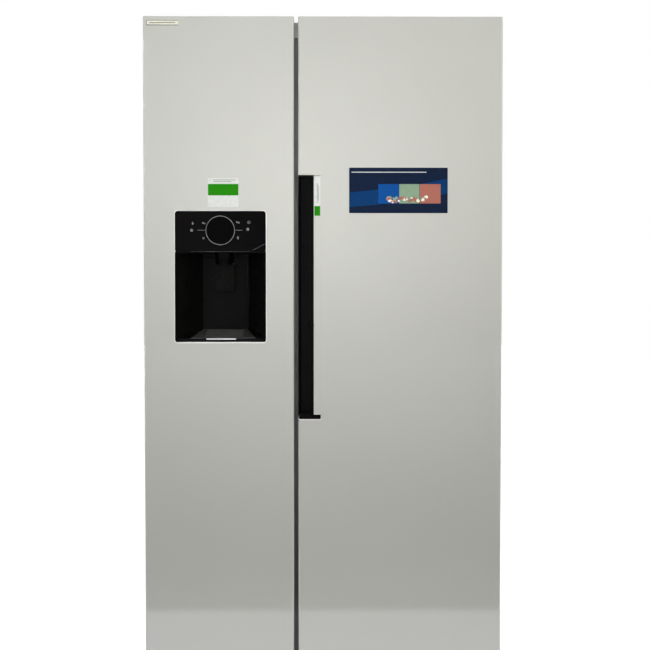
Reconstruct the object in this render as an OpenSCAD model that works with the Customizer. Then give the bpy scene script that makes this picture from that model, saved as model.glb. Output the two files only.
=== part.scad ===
// Side by side refrigerator: freezer on the left, fresh food on the right, ice and water dispenser in
// the freezer door and a recessed vertical grip on the edge of the fridge door. Millimetres, +Z up,
// doors face -Y, the origin is under the middle of the cabinet on the floor.

/* [Overall] */
// Width across both doors
width = 910; // [900:1:920]
// Depth from the grip lip to the water spigot
depth = 710; // [700:1:720]
// Height of the door tops above the floor
height = 1770; // [1760:1:1790]

/* [Doors] */
// Middle of the gap between the doors
split_x = -68.5; // [-75:0.5:-62]
// Gap between the two doors
door_gap = 10.5; // [8:0.5:14]
// Thickness of each door
door_t = 66; // [62:1:68]
// Radius of the vertical front edges
edge_r = 5; // [4:0.5:12]
// Steel skin thickness
skin = 1; // [0.8:0.1:1.2]
// Hinge pin radius
pin_r = 5; // [4:0.5:6]
// Radial clearance of every running fit
fit = 0.05; // [0.02:0.01:0.09]

/* [Cabinet] */
// Insulation beside the freezer
freezer_wall = 55; // [50:1:60]
// Insulation beside the fridge
fridge_wall = 45; // [40:1:50]
// Divider between the two compartments
divider = 50; // [44:1:56]
// Plastic liner thickness
liner = 2; // [1.5:0.5:3]
// Heights of the glass shelves in the fridge
fridge_shelves = [530, 760, 1000, 1230, 1440];
// Heights of the glass shelves in the freezer
freezer_shelves = [530, 760, 1010, 1280];

/* [Dispenser] */
// Left side of the dispenser
disp_x0 = -376; // [-380:1:-370]
// Right side of the dispenser
disp_x1 = -145; // [-150:1:-140]
// Bottom of the dispenser
disp_z0 = 946; // [940:1:955]
// Top of the dispenser
disp_z1 = 1280; // [1270:1:1290]
// Ceiling of the dispenser cavity
disp_ceiling = 1175; // [1165:1:1185]

/* [Hidden] */
$fn = 64;
hx = width / 2;
y_front = -depth / 2 + 5;
y_door = y_front + door_t;
y_cab = y_door + 12;
y_rear = depth / 2 - 16;
z_door = 80;
z_cab = 60;
z_roof = height - 40;
cab_x = hx - 2;
pin_x = hx - 18;
pin_y = y_cab - 32;
fz_edge = split_x - door_gap / 2;
fr_edge = split_x + door_gap / 2;
fz0 = -cab_x + skin + freezer_wall;
fz1 = split_x - divider / 2;
fr0 = split_x + divider / 2;
fr1 = cab_x - skin - fridge_wall;
deck_y = 160;
deck_z = 255;
rail_z = 28;
foot_x = hx - 59;
foot_y = y_cab + 30;
roller_x = hx - 55;
roller_y = 290;
roller_z = 20;
motor_y = 250;
motor_z = 144;
motor_r = 3;
inlet_x = -400;
inlet_z = 200;
valve_x = 375;
valve_z = 192;
floor_z = 115;
step_z = 310;
step_y = 98;
wall_y = 275;
ceil_z = z_roof - 50;
frame_z0 = 565;
frame_z1 = 1640;
rib_y = -225;
bin_y = -182;
disp_back = -228;
disp_c = -254;
grip_z0 = 745.6;
grip_z1 = 1371;
lip_x0 = -21;
lip_x1 = -5.7;
lip_z0 = grip_z0 + 15;
lip_back = y_front + 7;
fz_rib0 = fz0 + 10;
fz_rib1 = fz1 - 23;
fr_rib0 = fr0 + 18;
fr_rib1 = fr1 - 10;
bin_t = 3;
bearing_w = 43;
bearing_y = y_front + 11;
bearing_h = 32;
groove_y0 = y_front + 9;
groove_y1 = y_front + 37;
chute_x0 = disp_c - 40;
chute_x1 = disp_c + 40;
chute_y = y_front + 21;
chute_z1 = 1340;
duct_z = 1259;
wall_t = 3.5;
nozzle_y = y_front + 45;
nozzle_h = 30;
paddle_y = -264;
paddle_z = disp_ceiling - 27;
flap_y = -184;
flap_z = 1598;
cold_fan_x = -245;
cold_fan_z = 830;
cover_y = 212;
bucket_z = 1289;
auger_x = -255;
auger_z = 1326;
mark_y = y_front - 1;
label_t = 0.4;
dial_x = -260.8;
dial_z = 1230.6;
comp_x = -250;
comp_y = 250;
pipe_z = 232;
hot_x = -282;
hot_z = 240;
coil_top = 206;
arm_y = -190;
cover_end = -178;
shelf_y = -150;
drawer_y = -168;
bulge_y = -214;
bulge_z0 = 930;
bulge_z1 = 1195;

// ---- helpers ----
module box(x0, y0, z0, x1, y1, z1) {
    translate([x0, y0, z0])
        cube([x1 - x0, y1 - y0, z1 - z0]);
}

// A box given for the right-hand side, placed on side s
module side_box(s, x0, y0, z0, x1, y1, z1) {
    box(s > 0 ? x0 : -x1, y0, z0, s > 0 ? x1 : -x0, y1, z1);
}

// An upright cylinder at side s
module side_post(s, x, y, r, z0, z1) {
    translate([s * x, y, z0])
        cylinder(r = r, h = z1 - z0);
}

// Extrudes a Y-Z outline along X
module along_x(x0, x1) {
    translate([x0, 0, 0])
        rotate([90, 0, 90])
            linear_extrude(x1 - x0)
                children();
}

// Extrudes an X-Z outline along Y
module along_y(y0, y1) {
    translate([0, y1, 0])
        rotate([90, 0, 0])
            linear_extrude(y1 - y0)
                children();
}

// Extrudes an X-Y outline along Z
module along_z(z0, z1) {
    translate([0, 0, z0])
        linear_extrude(z1 - z0)
            children();
}

// An open-topped tray
module tray(x0, y0, z0, x1, y1, z1, t) {
    difference() {
        box(x0, y0, z0, x1, y1, z1);
        box(x0 + t, y0 + t, z0 + t, x1 - t, y1 - t, z1 + 1);
    }
}

// ---- cabinet ----
module cabinet_outline(in) {
    polygon([
        [y_cab + in, z_cab + in],
        [deck_y - in, z_cab + in],
        [deck_y - in, deck_z + in],
        [y_rear - skin, deck_z + in],
        [y_rear - skin, z_roof - in],
        [y_cab + in, z_roof - in]
    ]);
}

module room_outline(in) {
    polygon([
        [y_cab - in, floor_z - liner + in],
        [step_y + liner - in, floor_z - liner + in],
        [step_y + liner - in, step_z - liner + in],
        [wall_y + liner - in, step_z - liner + in],
        [wall_y + liner - in, ceil_z + liner - in],
        [y_cab - in, ceil_z + liner - in]
    ]);
}

module cabinet_shell() {
    color([0.42, 0.43, 0.44])
    difference() {
        along_x(-cab_x, cab_x)
            cabinet_outline(0);
        along_x(-cab_x + skin, cab_x - skin)
            cabinet_outline(skin);
        box(fz0, y_cab - 1, floor_z - liner, fz1, y_cab + 2, ceil_z + liner);
        box(fr0, y_cab - 1, floor_z - liner, fr1, y_cab + 2, ceil_z + liner);
    }
}

module cabinet_foam() {
    color([0.93, 0.87, 0.62])
    difference() {
        along_x(-cab_x + skin, cab_x - skin)
            cabinet_outline(skin);
        along_x(fz0, fz1)
            room_outline(0);
        along_x(fr0, fr1)
            room_outline(0);
    }
}

module room_liner(x0, x1, shelves, back) {
    difference() {
        along_x(x0, x1)
            room_outline(0);
        along_x(x0 + liner, x1 - liner)
            room_outline(liner);
    }
    for (z = shelves) {
        box(x0 + liner, -145, z - 8, x0 + liner + 7, back, z);
        box(x1 - liner - 7, -145, z - 8, x1 - liner, back, z);
    }
}

module freezer_liner() {
    color([0.94, 0.95, 0.95])
    room_liner(fz0, fz1, freezer_shelves, 205);
}

module fridge_liner() {
    color([0.94, 0.95, 0.95])
    union() {
        room_liner(fr0, fr1, fridge_shelves, 260);
        difference() {
            box(150, 263, 560, 214, wall_y, 1620);
            for (z = [640 : 240 : 1600])
                box(160, 262, z, 204, 268, z + 12);
        }
    }
}

module back_panel() {
    color([0.6, 0.61, 0.62])
    union() {
        box(-cab_x + skin, y_rear - skin, deck_z, cab_x - skin, y_rear, z_roof - skin);
        for (x = [-330 : 165 : 330])
            box(x - 12, y_rear, 330, x + 12, y_rear + 2, 1640);
    }
}

module base_frame() {
    color([0.33, 0.34, 0.35])
    difference() {
        union() {
            for (s = [-1, 1]) {
                difference() {
                    side_box(s, cab_x - 38, y_cab + 10, rail_z, cab_x - 1, y_rear, z_cab);
                    side_box(s, cab_x - 39, y_cab + 9, rail_z + 2, cab_x - 3, y_rear + 1, z_cab - 2);
                }
                side_box(s, cab_x - 1, deck_y, rail_z, cab_x, y_rear, deck_z);
                side_box(s, foot_x - 16, foot_y - 18, 40, foot_x + 16, foot_y + 18, z_cab - 1);
                side_box(s, roller_x - 18, roller_y - 12, 8, roller_x - 15, roller_y + 12, z_cab - 1);
                side_box(s, roller_x + 12, roller_y - 12, 8, roller_x + 15, roller_y + 12, z_cab - 1);
                translate([s * roller_x - 15, roller_y, roller_z])
                    rotate([0, 90, 0])
                        cylinder(r = 4, h = 30);
            }
            difference() {
                box(-415, y_cab + 10, rail_z, 415, y_cab + 50, z_cab);
                box(-416, y_cab + 12, 27, 416, y_cab + 48, z_cab - 2);
            }
            box(-415, deck_y, z_cab - 2, 415, y_rear - skin, z_cab);
        }
        for (s = [-1, 1])
            side_post(s, foot_x, foot_y, pin_r + fit, 30, z_cab + 1);
    }
}

module foot(s) {
    color([0.16, 0.16, 0.17])
    union() {
        side_post(s, foot_x, foot_y, 20, 0, 6);
        translate([s * foot_x, foot_y, 6])
            cylinder(r = 10, h = 8, $fn = 6);
        side_post(s, foot_x, foot_y, pin_r, 13, z_cab - 3);
    }
}

module foot_left() {
    foot(-1);
}

module foot_right() {
    foot(1);
}

module rear_rollers() {
    color([0.2, 0.2, 0.21])
    for (s = [-1, 1])
        translate([s * roller_x - 11, roller_y, roller_z])
            rotate([0, 90, 0])
                difference() {
                    cylinder(r = 20, h = 22);
                    translate([0, 0, -1])
                        cylinder(r = 4 + fit, h = 24);
                }
}

module kick_plate() {
    color([0.25, 0.26, 0.27])
    difference() {
        box(-412, y_cab - 4, 12, 412, y_cab, 76);
        for (i = [-8 : 7])
            for (z = [22, 34, 46])
                box(i * 50 + 5, y_cab - 5, z, i * 50 + 45, y_cab + 1, z + 6);
    }
}

module machine_cover() {
    color([0.3, 0.31, 0.32])
    difference() {
        box(-cab_x + skin, y_rear - skin, z_cab, cab_x - skin, y_rear, deck_z);
        for (x = [-160 : 30 : 260])
            for (z = [95, 150])
                box(x - 9, y_rear - 2, z, x + 9, y_rear + 1, z + 42);
        translate([valve_x, y_rear + 1, valve_z])
            rotate([90, 0, 0])
                cylinder(r = 16, h = 3);
    }
}

module compressor() {
    color([0.1, 0.1, 0.11])
    union() {
        translate([comp_x, comp_y, 0])
            rotate_extrude()
                polygon([[0, 74], [56, 74], [64, 84], [64, 150], [58, 178], [40, 196], [0, 204]]);
        box(-336, 196, 72, -164, 304, 76);
        box(-196, 225, 95, -168, 275, 150);
        for (x = [-324, -176])
            for (y = [208, 292])
                translate([x, y, z_cab])
                    cylinder(r = 10, h = 13);
    }
}

module condenser() {
    color([0.2, 0.2, 0.21])
    union() {
        for (y = [190 : 15 : 310])
            box(6, y, 66, 186, y + 1.5, coil_top);
        for (x = [40, 96, 152])
            for (z = [100, 172])
                translate([x, 186, z])
                    rotate([-90, 0, 0])
                        cylinder(r = 4.5, h = 130);
        for (x = [20, 166])
            box(x, 190, z_cab, x + 8, 311.5, 68);
    }
}

module fan_shroud() {
    color([0.12, 0.12, 0.13])
    union() {
        difference() {
            box(-54, 182, z_cab, -50, 318, 228);
            translate([-55, motor_y, motor_z])
                rotate([0, 90, 0])
                    cylinder(r = 60, h = 6);
        }
        box(-54, 182, motor_z - 6, -50, 318, motor_z + 6);
        translate([-54, motor_y, motor_z])
            rotate([0, 90, 0])
                cylinder(r = 18, h = 40);
        translate([-88, motor_y, motor_z])
            rotate([0, 90, 0])
                cylinder(r = motor_r, h = 36);
    }
}

module rotor(r, hub, w, n) {
    difference() {
        union() {
            cylinder(r = hub, h = w);
            for (i = [0 : n - 1])
                rotate([0, 0, i * 360 / n])
                    translate([hub - 3, 0, w / 2])
                        rotate([32, 0, 0])
                            translate([0, -w * 0.55, -1.2])
                                cube([r - hub + 2, w * 1.1, 2.4]);
        }
        translate([0, 0, -1])
            cylinder(r = motor_r + fit, h = w + 2);
    }
}

module condenser_fan() {
    color([0.14, 0.14, 0.15])
    translate([-84, motor_y, motor_z])
        rotate([0, 90, 0])
            rotor(54, 16, 22, 5);
}

module drain_pan() {
    color([0.2, 0.21, 0.22])
    tray(212, 188, z_cab, 404, 322, 104, 2.5);
}

module pipe(a, b, r) {
    d = b - a;
    l = norm(d);
    translate(a)
        rotate([0, acos(d[2] / l), atan2(d[1], d[0])])
            cylinder(r = r, h = l);
}

module refrigerant_tubes() {
    color([0.72, 0.45, 0.3])
    union() {
        path = [
            [comp_x, comp_y, 203.7],
            [comp_x, comp_y, pipe_z],
            [comp_x, comp_y - 45, pipe_z],
            [comp_x, comp_y - 45, deck_z]
        ];
        for (i = [0 : 2])
            pipe(path[i], path[i + 1], 4);
        for (i = [1 : 2])
            translate(path[i])
                sphere(r = 4);
        hot = [
            [hot_x, comp_y, 198.3],
            [hot_x, comp_y, hot_z],
            [26, comp_y, hot_z],
            [26, comp_y, coil_top]
        ];
        for (i = [0 : 2])
            pipe(hot[i], hot[i + 1], 3);
        for (i = [1 : 2])
            translate(hot[i])
                sphere(r = 3);
        pipe([150, comp_y, coil_top], [150, comp_y, deck_z], 3);
        pipe([150, comp_y, 212], [150, comp_y, 250], 9);
    }
}

module power_inlet() {
    color([0.1, 0.1, 0.1])
    difference() {
        union() {
            box(inlet_x - 24, y_rear, inlet_z - 16, inlet_x + 24, y_rear + 4, inlet_z + 16);
            translate([inlet_x, y_rear + 3, inlet_z])
                rotate([-90, 0, 0])
                    cylinder(r = 9, h = 9);
        }
        translate([inlet_x, y_rear + 2, inlet_z])
            rotate([-90, 0, 0])
                cylinder(r = 4.5, h = 12);
    }
}

module water_valve() {
    color([0.75, 0.6, 0.3])
    difference() {
        union() {
            box(valve_x - 25, 292, valve_z - 24, valve_x + 25, y_rear - skin, valve_z + 24);
            translate([valve_x, 300, valve_z])
                rotate([-90, 0, 0])
                    cylinder(r = 13.2, h = depth / 2 - 300);
            translate([valve_x, 312, valve_z + 23])
                cylinder(r = 12, h = 24);
        }
        translate([valve_x, 310, valve_z])
            rotate([-90, 0, 0])
                cylinder(r = 8, h = 60);
    }
}

// ---- hinges ----
module hinges() {
    color([0.55, 0.56, 0.57])
    for (s = [-1, 1]) {
        union() {
            side_box(s, pin_x - 13, pin_y, z_roof, pin_x + 13, arm_y, z_roof + 4);
            side_post(s, pin_x, pin_y, 13, z_roof, z_roof + 4);
            side_post(s, pin_x, pin_y, pin_r, z_roof - 26, z_roof + 3);
            for (y = [-205, -230, -255])
                translate([s * pin_x, y, z_roof + 3])
                    cylinder(r = 6, h = 5, $fn = 6);
        }
        union() {
            side_box(s, pin_x - 16, pin_y, 70, pin_x + 16, y_cab, 75);
            side_post(s, pin_x, pin_y, 16, 70, 75);
            side_box(s, pin_x - 16, y_cab - 4, 30, pin_x + 16, y_cab, 75);
            side_post(s, pin_x, pin_y, 10, 74, 79.6);
            side_post(s, pin_x, pin_y, pin_r, 79, 102);
        }
    }
}

module cover_plan(s, r) {
    translate([s * pin_x, pin_y])
        circle(r = r);
    translate([s * pin_x - r, pin_y])
        square([2 * r, cover_end + r - 16 - pin_y]);
}

module hinge_covers() {
    color([0.62, 0.62, 0.6])
    for (s = [-1, 1])
        difference() {
            along_z(z_roof, z_roof + 32)
                cover_plan(s, 16);
            along_z(z_roof - 1, z_roof + 29)
                cover_plan(s, 13.5);
        }
}

// ---- cold parts ----
module evaporator() {
    color([0.75, 0.76, 0.77])
    union() {
        for (x = [-372 : 22 : -120])
            box(x, 224, 420, x + 1.5, 270, 700);
        for (z = [460 : 60 : 660])
            for (y = [236, 258])
                translate([-378, y, z])
                    rotate([0, 90, 0])
                        cylinder(r = 4, h = 266);
        box(-250, 262, 400, -240, wall_y, 430);
    }
}

module evaporator_cover() {
    color([0.93, 0.94, 0.94])
    union() {
        difference() {
            box(fz0 + liner, cover_y, step_z, fz1 - liner, cover_y + 3, ceil_z);
            translate([cold_fan_x, cover_y + 4, cold_fan_z])
                rotate([90, 0, 0])
                    cylinder(r = 52, h = 5);
            for (z = [360 : 14 : 400])
                box(-360, cover_y - 1, z, -130, cover_y + 4, z + 6);
            for (z = [1180 : 16 : 1230])
                box(-340, cover_y - 1, z, -150, cover_y + 4, z + 7);
        }
        box(cold_fan_x - 65, cover_y + 1, cold_fan_z - 8, cold_fan_x + 65, cover_y + 5, cold_fan_z + 8);
        translate([cold_fan_x, cover_y + 4, cold_fan_z])
            rotate([-90, 0, 0])
                cylinder(r = motor_r, h = 36);
        translate([cold_fan_x, 248, cold_fan_z])
            rotate([-90, 0, 0])
                cylinder(r = 20, h = wall_y - 248);
    }
}

module evaporator_fan() {
    color([0.2, 0.2, 0.21])
    translate([cold_fan_x, cover_y + 11, cold_fan_z])
        rotate([-90, 0, 0])
            rotor(47, 13, 18, 5);
}

module ice_maker() {
    color([0.85, 0.86, 0.87])
    difference() {
        union() {
            box(-372, 60, 1560, -150, 170, 1640);
            box(-150, 50, 1540, -110, 180, 1650);
            box(-372, 80, 1640, -150, 150, ceil_z);
        }
        for (i = [0 : 6])
            box(-366 + i * 30, 66, 1590, -342 + i * 30, 78, 1641);
    }
}

module ice_bucket() {
    color([0.88, 0.92, 0.95])
    difference() {
        tray(-372, -215, bucket_z, -128, 180, 1450, bin_t);
        box(auger_x - 30, -216, bucket_z + bin_t, auger_x + 30, -211, 1352);
        translate([auger_x, 176, auger_z])
            rotate([-90, 0, 0])
                cylinder(r = 4 + fit, h = 5);
    }
}

module ice_auger() {
    color([0.7, 0.71, 0.72])
    union() {
        translate([auger_x, -200, auger_z])
            rotate([-90, 0, 0])
                cylinder(r = 4, h = 406);
        for (i = [0 : 11])
            translate([auger_x, -190 + i * 30, auger_z])
                rotate([0, i * 36, 0])
                    box(-32, -3, -3, 32, 3, 3);
    }
}

// ---- shelves, drawers, lights ----
module shelf(x0, x1, y1, z) {
    box(x0 + liner + 1, shelf_y, z, x1 - liner - 1, y1, z + 5);
}

module shelf_glass() {
    color([0.8, 0.9, 0.9, 0.45])
    union() {
        for (z = fridge_shelves)
            shelf(fr0, fr1, 255, z);
        for (z = freezer_shelves)
            shelf(fz0, fz1, 200, z);
        box(fr0 + liner, -165, step_z - 6, fr1 - liner, step_y, step_z);
        box(fz0 + liner, -165, step_z - 6, fz1 - liner, step_y, step_z);
    }
}

module shelf_rail(x0, x1, z) {
    difference() {
        box(x0 + liner + 1, shelf_y - 7, z - 4, x1 - liner - 1, shelf_y + 3, z + 9);
        box(x0, shelf_y, z, x1, shelf_y + 10, z + 5);
    }
}

module shelf_trims() {
    color([0.9, 0.91, 0.91])
    union() {
        for (z = fridge_shelves)
            shelf_rail(fr0, fr1, z);
        for (z = freezer_shelves)
            shelf_rail(fz0, fz1, z);
    }
}

module interior_lights() {
    color([0.98, 0.98, 0.92])
    union() {
        box(120, -110, ceil_z - 10, 244, -50, ceil_z);
        box(-305, -110, ceil_z - 10, -185, -50, ceil_z);
    }
}

module drawer(x0, x1, y1, z0, z1) {
    color([0.85, 0.9, 0.93, 0.6])
    union() {
        tray(x0, drawer_y, z0, x1, y1, z1, bin_t);
        box(x0, drawer_y - 4, z0, x1, drawer_y, z1 + 4);
        box(x0 + 40, drawer_y - 14, z1 - 34, x1 - 40, drawer_y - 4, z1 - 26);
    }
}

module crisper_upper() {
    drawer(fr0 + 6, fr1 - 6, 262, step_z + 0.6, 512);
}

module crisper_lower() {
    drawer(fr0 + 6, fr1 - 6, 88, floor_z + 0.6, 292);
}

module freezer_drawer_upper() {
    drawer(fz0 + 6, fz1 - 6, 200, step_z + 0.6, 512);
}

module freezer_drawer_lower() {
    drawer(fz0 + 6, fz1 - 6, 88, floor_z + 0.6, 292);
}

// ---- doors ----
// Door outline from above with rounded front corners, in millimetres inside the outer face
module door_plan(x0, x1, in) {
    r = edge_r - in;
    translate([x0 + edge_r, y_front + in])
        square([x1 - x0 - 2 * edge_r, door_t - in]);
    translate([x0 + in, y_front + edge_r])
        square([x1 - x0 - 2 * in, door_t - edge_r]);
    for (x = [x0 + edge_r, x1 - edge_r])
        translate([x, y_front + edge_r])
            circle(r = r);
}

// Room for the upper hinge arm in the outer top corner
module notch(s, in) {
    side_box(s, hx - 40 - in, y_front + 14 - in, z_roof - 2 - in, hx + 1, y_door + 1, height + 1);
}

module skin_of(x0, x1, s) {
    difference() {
        along_z(z_door, height)
            door_plan(x0, x1, 0);
        translate([0, 0, -1])
            along_z(z_door, height + 2)
                union() {
                    door_plan(x0, x1, skin);
                    translate([x0 + skin, y_door - 1])
                        square([x1 - x0 - 2 * skin, 3]);
                }
        notch(s, 0);
    }
}

// End caps with the bearing blocks
module caps_of(x0, x1, s) {
    difference() {
        union() {
            along_z(height - 4, height)
                door_plan(x0, x1, skin);
            intersection() {
                side_box(s, hx - bearing_w, bearing_y, z_roof - bearing_h, hx, y_door, height - 1);
                along_z(z_door, height)
                    door_plan(x0, x1, skin);
            }
        }
        notch(s, 0);
        side_post(s, pin_x, pin_y, pin_r + fit, z_roof - 30, z_roof);
    }
    difference() {
        union() {
            along_z(z_door, z_door + 4)
                door_plan(x0, x1, skin);
            intersection() {
                side_box(s, hx - bearing_w, bearing_y, z_door, hx, y_door, z_door + bearing_h);
                along_z(z_door, height)
                    door_plan(x0, x1, skin);
            }
        }
        side_post(s, pin_x, pin_y, pin_r + fit, z_door - 1, z_door + 26);
    }
}

module core_of(x0, x1, s) {
    difference() {
        along_z(z_door + 4, height - 4)
            door_plan(x0, x1, skin);
        box(x0, y_door - liner, z_door, x1, y_door + 1, height);
        side_box(s, hx - bearing_w, bearing_y, z_roof - bearing_h, hx, y_door, height);
        side_box(s, hx - bearing_w, bearing_y, z_door, hx, y_door, z_door + bearing_h);
    }
}

module plate_of(x0, x1, s) {
    difference() {
        box(x0 + skin, y_door - liner, z_door + 4, x1 - skin, y_door, height - 4);
        side_box(s, hx - bearing_w, bearing_y, z_roof - bearing_h, hx, y_door + 1, height);
        side_box(s, hx - bearing_w, bearing_y, z_door, hx, y_door + 1, z_door + bearing_h);
    }
}

// Frame on the inside of a door that carries the bins
module bin_frame(x0, x1) {
    difference() {
        box(x0, y_door - 0.5, frame_z0, x1, rib_y, frame_z1);
        box(x0 + 8, y_door - 1, frame_z0 + 8, x1 - 8, rib_y + 1, frame_z1 - 8);
    }
}

module gasket_of(x0, x1) {
    difference() {
        box(x0, y_door, z_door + 12, x1, y_cab - 0.5, z_roof - 20);
        box(x0 + 14, y_door - 1, z_door + 27, x1 - 14, y_cab, z_roof - 35);
    }
}

module bin(x0, x1, z, h) {
    tray(x0, y_door, z, x1, bin_y, z + h, bin_t);
}

// Freezer door
module freezer_door_skin() {
    color([0.78, 0.78, 0.76])
    difference() {
        skin_of(-hx, fz_edge, -1);
        box(disp_x0, y_front - 1, disp_z0, disp_x1, y_front + 3, disp_z1);
        box(fz_edge - 3, groove_y0, grip_z0, fz_edge + 1, groove_y1, grip_z1);
    }
}

module bulge(in) {
    box(
        fz_rib0 + 8 + in, y_door - 5, bulge_z0 + in,
        fz_rib1 - 8 - in, bulge_y - in, bulge_z1 - in
    );
}

module cavity_plan(in) {
    polygon([
        [disp_x0 + in, y_front],
        [disp_c - 65.5 + in, disp_back + 3 - in],
        [disp_c + 65.5 - in, disp_back + 3 - in],
        [disp_x1 - in, y_front]
    ]);
}

module housing_body() {
    union() {
        along_z(disp_z0, disp_ceiling + 3)
            cavity_plan(0);
        box(disp_x0, y_front, disp_ceiling, disp_x1, y_front + 18, disp_z1);
    }
}

// The ice path: down from the duct mouth in the liner to the spout, smaller by in on every side
module chute_body(in, down) {
    box(chute_x0 + in, chute_y + in, disp_ceiling + down, chute_x1 - in, y_door - 4 - in, chute_z1 - in);
    box(chute_x0 + in, y_door - 8 - in / 3, duct_z + in, chute_x1 - in, -222 + in / 3, chute_z1 - in);
}

module freezer_door_foam() {
    color([0.93, 0.87, 0.62])
    difference() {
        union() {
            core_of(-hx, fz_edge, -1);
            difference() {
                bulge(liner);
                box(-hx, y_door - 6, 900, 0, y_door - liner, 1200);
            }
        }
        housing_body();
        box(chute_x0, chute_y, disp_ceiling + 3, chute_x1, y_door - 4, chute_z1);
        box(chute_x0, y_door - 8, duct_z, chute_x1, y_door, chute_z1);
        box(fz_edge - 21, groove_y0, grip_z0, fz_edge, groove_y1, grip_z1);
    }
}

module freezer_door_liner() {
    color([0.94, 0.95, 0.95])
    difference() {
        union() {
            plate_of(-hx, fz_edge, -1);
            bin_frame(fz_rib0, fz_rib1);
            difference() {
                bulge(0);
                box(-hx, y_door - 6, 900, 0, y_door - liner, 1200);
            }
        }
        bulge(liner);
        box(chute_x0, y_door - 9, duct_z, chute_x1, y_door + 1, chute_z1);
    }
}

module freezer_door_gasket() {
    color([0.7, 0.71, 0.71])
    gasket_of(-hx + 22, fz_edge - 3);
}

module freezer_door_trim() {
    color([0.6, 0.6, 0.58])
    union() {
        caps_of(-hx, fz_edge, -1);
        difference() {
            box(fz_edge - 21, groove_y0, grip_z0, fz_edge, groove_y1, grip_z1);
            box(fz_edge - 18, groove_y0 + 3, grip_z0 + 3, fz_edge + 1, groove_y1 - 3, grip_z1 - 3);
        }
    }
}

module freezer_door_bins() {
    color([0.85, 0.92, 0.95, 0.6])
    for (z = [[585, 110], [760, 100], [1520, 95]])
        bin(fz_rib0 + 8, fz_rib1 - 8, z[0], z[1]);
}

module freezer_door_labels() {
    color([0.9, 0.93, 0.85])
    union() {
        box(-446, y_front - label_t, 1747, -366, y_front, 1760);
        box(-292, y_front - label_t, 1290, -214, y_front, 1363);
    }
}

module dispenser_housing() {
    color([0.03, 0.03, 0.035])
    union() {
        difference() {
            housing_body();
            translate([0, -1, 0])
                along_z(disp_z0 + 4, disp_ceiling)
                    cavity_plan(wall_t);
            box(disp_x0 + 4, y_front - 2, disp_z0 + 4, disp_x1 - 4, y_front + 1, disp_ceiling);
            box(disp_x0 + 2, y_front - 1, disp_ceiling + 3, disp_x1 - 2, y_front + 15, disp_z1 - 2);
            box(chute_x0 + 3, chute_y + 3, disp_ceiling - 1, chute_x1 - 3, y_door - 7, disp_ceiling + 4);
        }
        for (x = [-284.5, -228.5])
            difference() {
                box(x, paddle_y - 6, paddle_z - 7, x + 5, paddle_y + 6, disp_ceiling + 1);
                translate([x - 1, paddle_y, paddle_z])
                    rotate([0, 90, 0])
                        cylinder(r = 2.5 + fit, h = 7);
            }
    }
}

module dispenser_bezel() {
    color([0.5, 0.5, 0.5])
    difference() {
        box(disp_x0 - 2, y_front - 1.5, disp_z0 - 2, disp_x1 + 2, y_front, disp_z1 + 2);
        box(disp_x0 + 2, y_front - 2, disp_z0 + 4, disp_x1 - 2, y_front + 1, disp_z1 - 2);
    }
}

module dispenser_panel() {
    color([0.02, 0.02, 0.025])
    box(disp_x0 + 2, y_front - 1, disp_ceiling + 3, disp_x1 - 2, y_front + 2, disp_z1 - 2);
}

module mark(x, z, r, n) {
    translate([x, mark_y, z])
        rotate([90, 0, 0])
            cylinder(r = r, h = label_t, $fn = n);
}

module dispenser_marks() {
    color([0.75, 0.76, 0.77])
    union() {
        translate([dial_x, mark_y, dial_z])
            rotate([90, 0, 0])
                difference() {
                    cylinder(r = 37.3, h = 0.5);
                    translate([0, 0, -1])
                        cylinder(r = 35.4, h = 3);
                }
        box(-318, mark_y - label_t, 1230.4, -299, mark_y, 1231.8);
        box(-223, mark_y - label_t, 1230.4, -204, mark_y, 1231.8);
        mark(-330.5, 1249, 4, 6);
        mark(-302.5, 1249, 4, 4);
        mark(-333, 1231, 4, 32);
        mark(-302.5, 1211, 4, 3);
        mark(-216, 1251, 4, 4);
        mark(-188, 1251, 4, 32);
        mark(-191, 1233.5, 4, 6);
        mark(-216, 1212, 4, 32);
    }
}

module dispenser_nozzle() {
    color([0.06, 0.06, 0.065])
    difference() {
        translate([disp_c, nozzle_y, disp_ceiling - nozzle_h])
            cylinder(r1 = 20, r2 = 24, h = nozzle_h);
        translate([disp_c, nozzle_y, disp_ceiling - nozzle_h - 1])
            cylinder(r1 = 16.5, r2 = 20.5, h = nozzle_h + 2);
    }
}

module ice_chute() {
    color([0.9, 0.91, 0.91])
    difference() {
        chute_body(0, 3);
        chute_body(3, 0);
    }
}

module dispenser_paddle() {
    color([0.05, 0.05, 0.055])
    union() {
        box(-278.5, paddle_y - 2, 1076, -229.5, paddle_y + 2, paddle_z + 3);
        translate([-278.5, paddle_y, paddle_z])
            rotate([0, 90, 0])
                cylinder(r = 4, h = 49);
        translate([-283.5, paddle_y, paddle_z])
            rotate([0, 90, 0])
                cylinder(r = 2.5, h = 59);
    }
}

// Outline of the drip tray from above
module tray_plan(in) {
    intersection() {
        translate([0, -2, 0])
            cavity_plan(6 + in);
        translate([disp_x0, y_front + 1.5 + in])
            square([disp_x1 - disp_x0, 115 - 2 * in]);
    }
}

module drip_tray() {
    color([0.08, 0.08, 0.085])
    difference() {
        intersection() {
            along_z(disp_z0 + 4.6, disp_z0 + 40)
                tray_plan(0);
            along_x(disp_x0, disp_x1)
                polygon([[-349, 950], [-349, 956], [-229, 975], [-229, 950]]);
        }
        along_z(disp_z0 + 7, disp_z0 + 60)
            tray_plan(5);
    }
}

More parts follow.
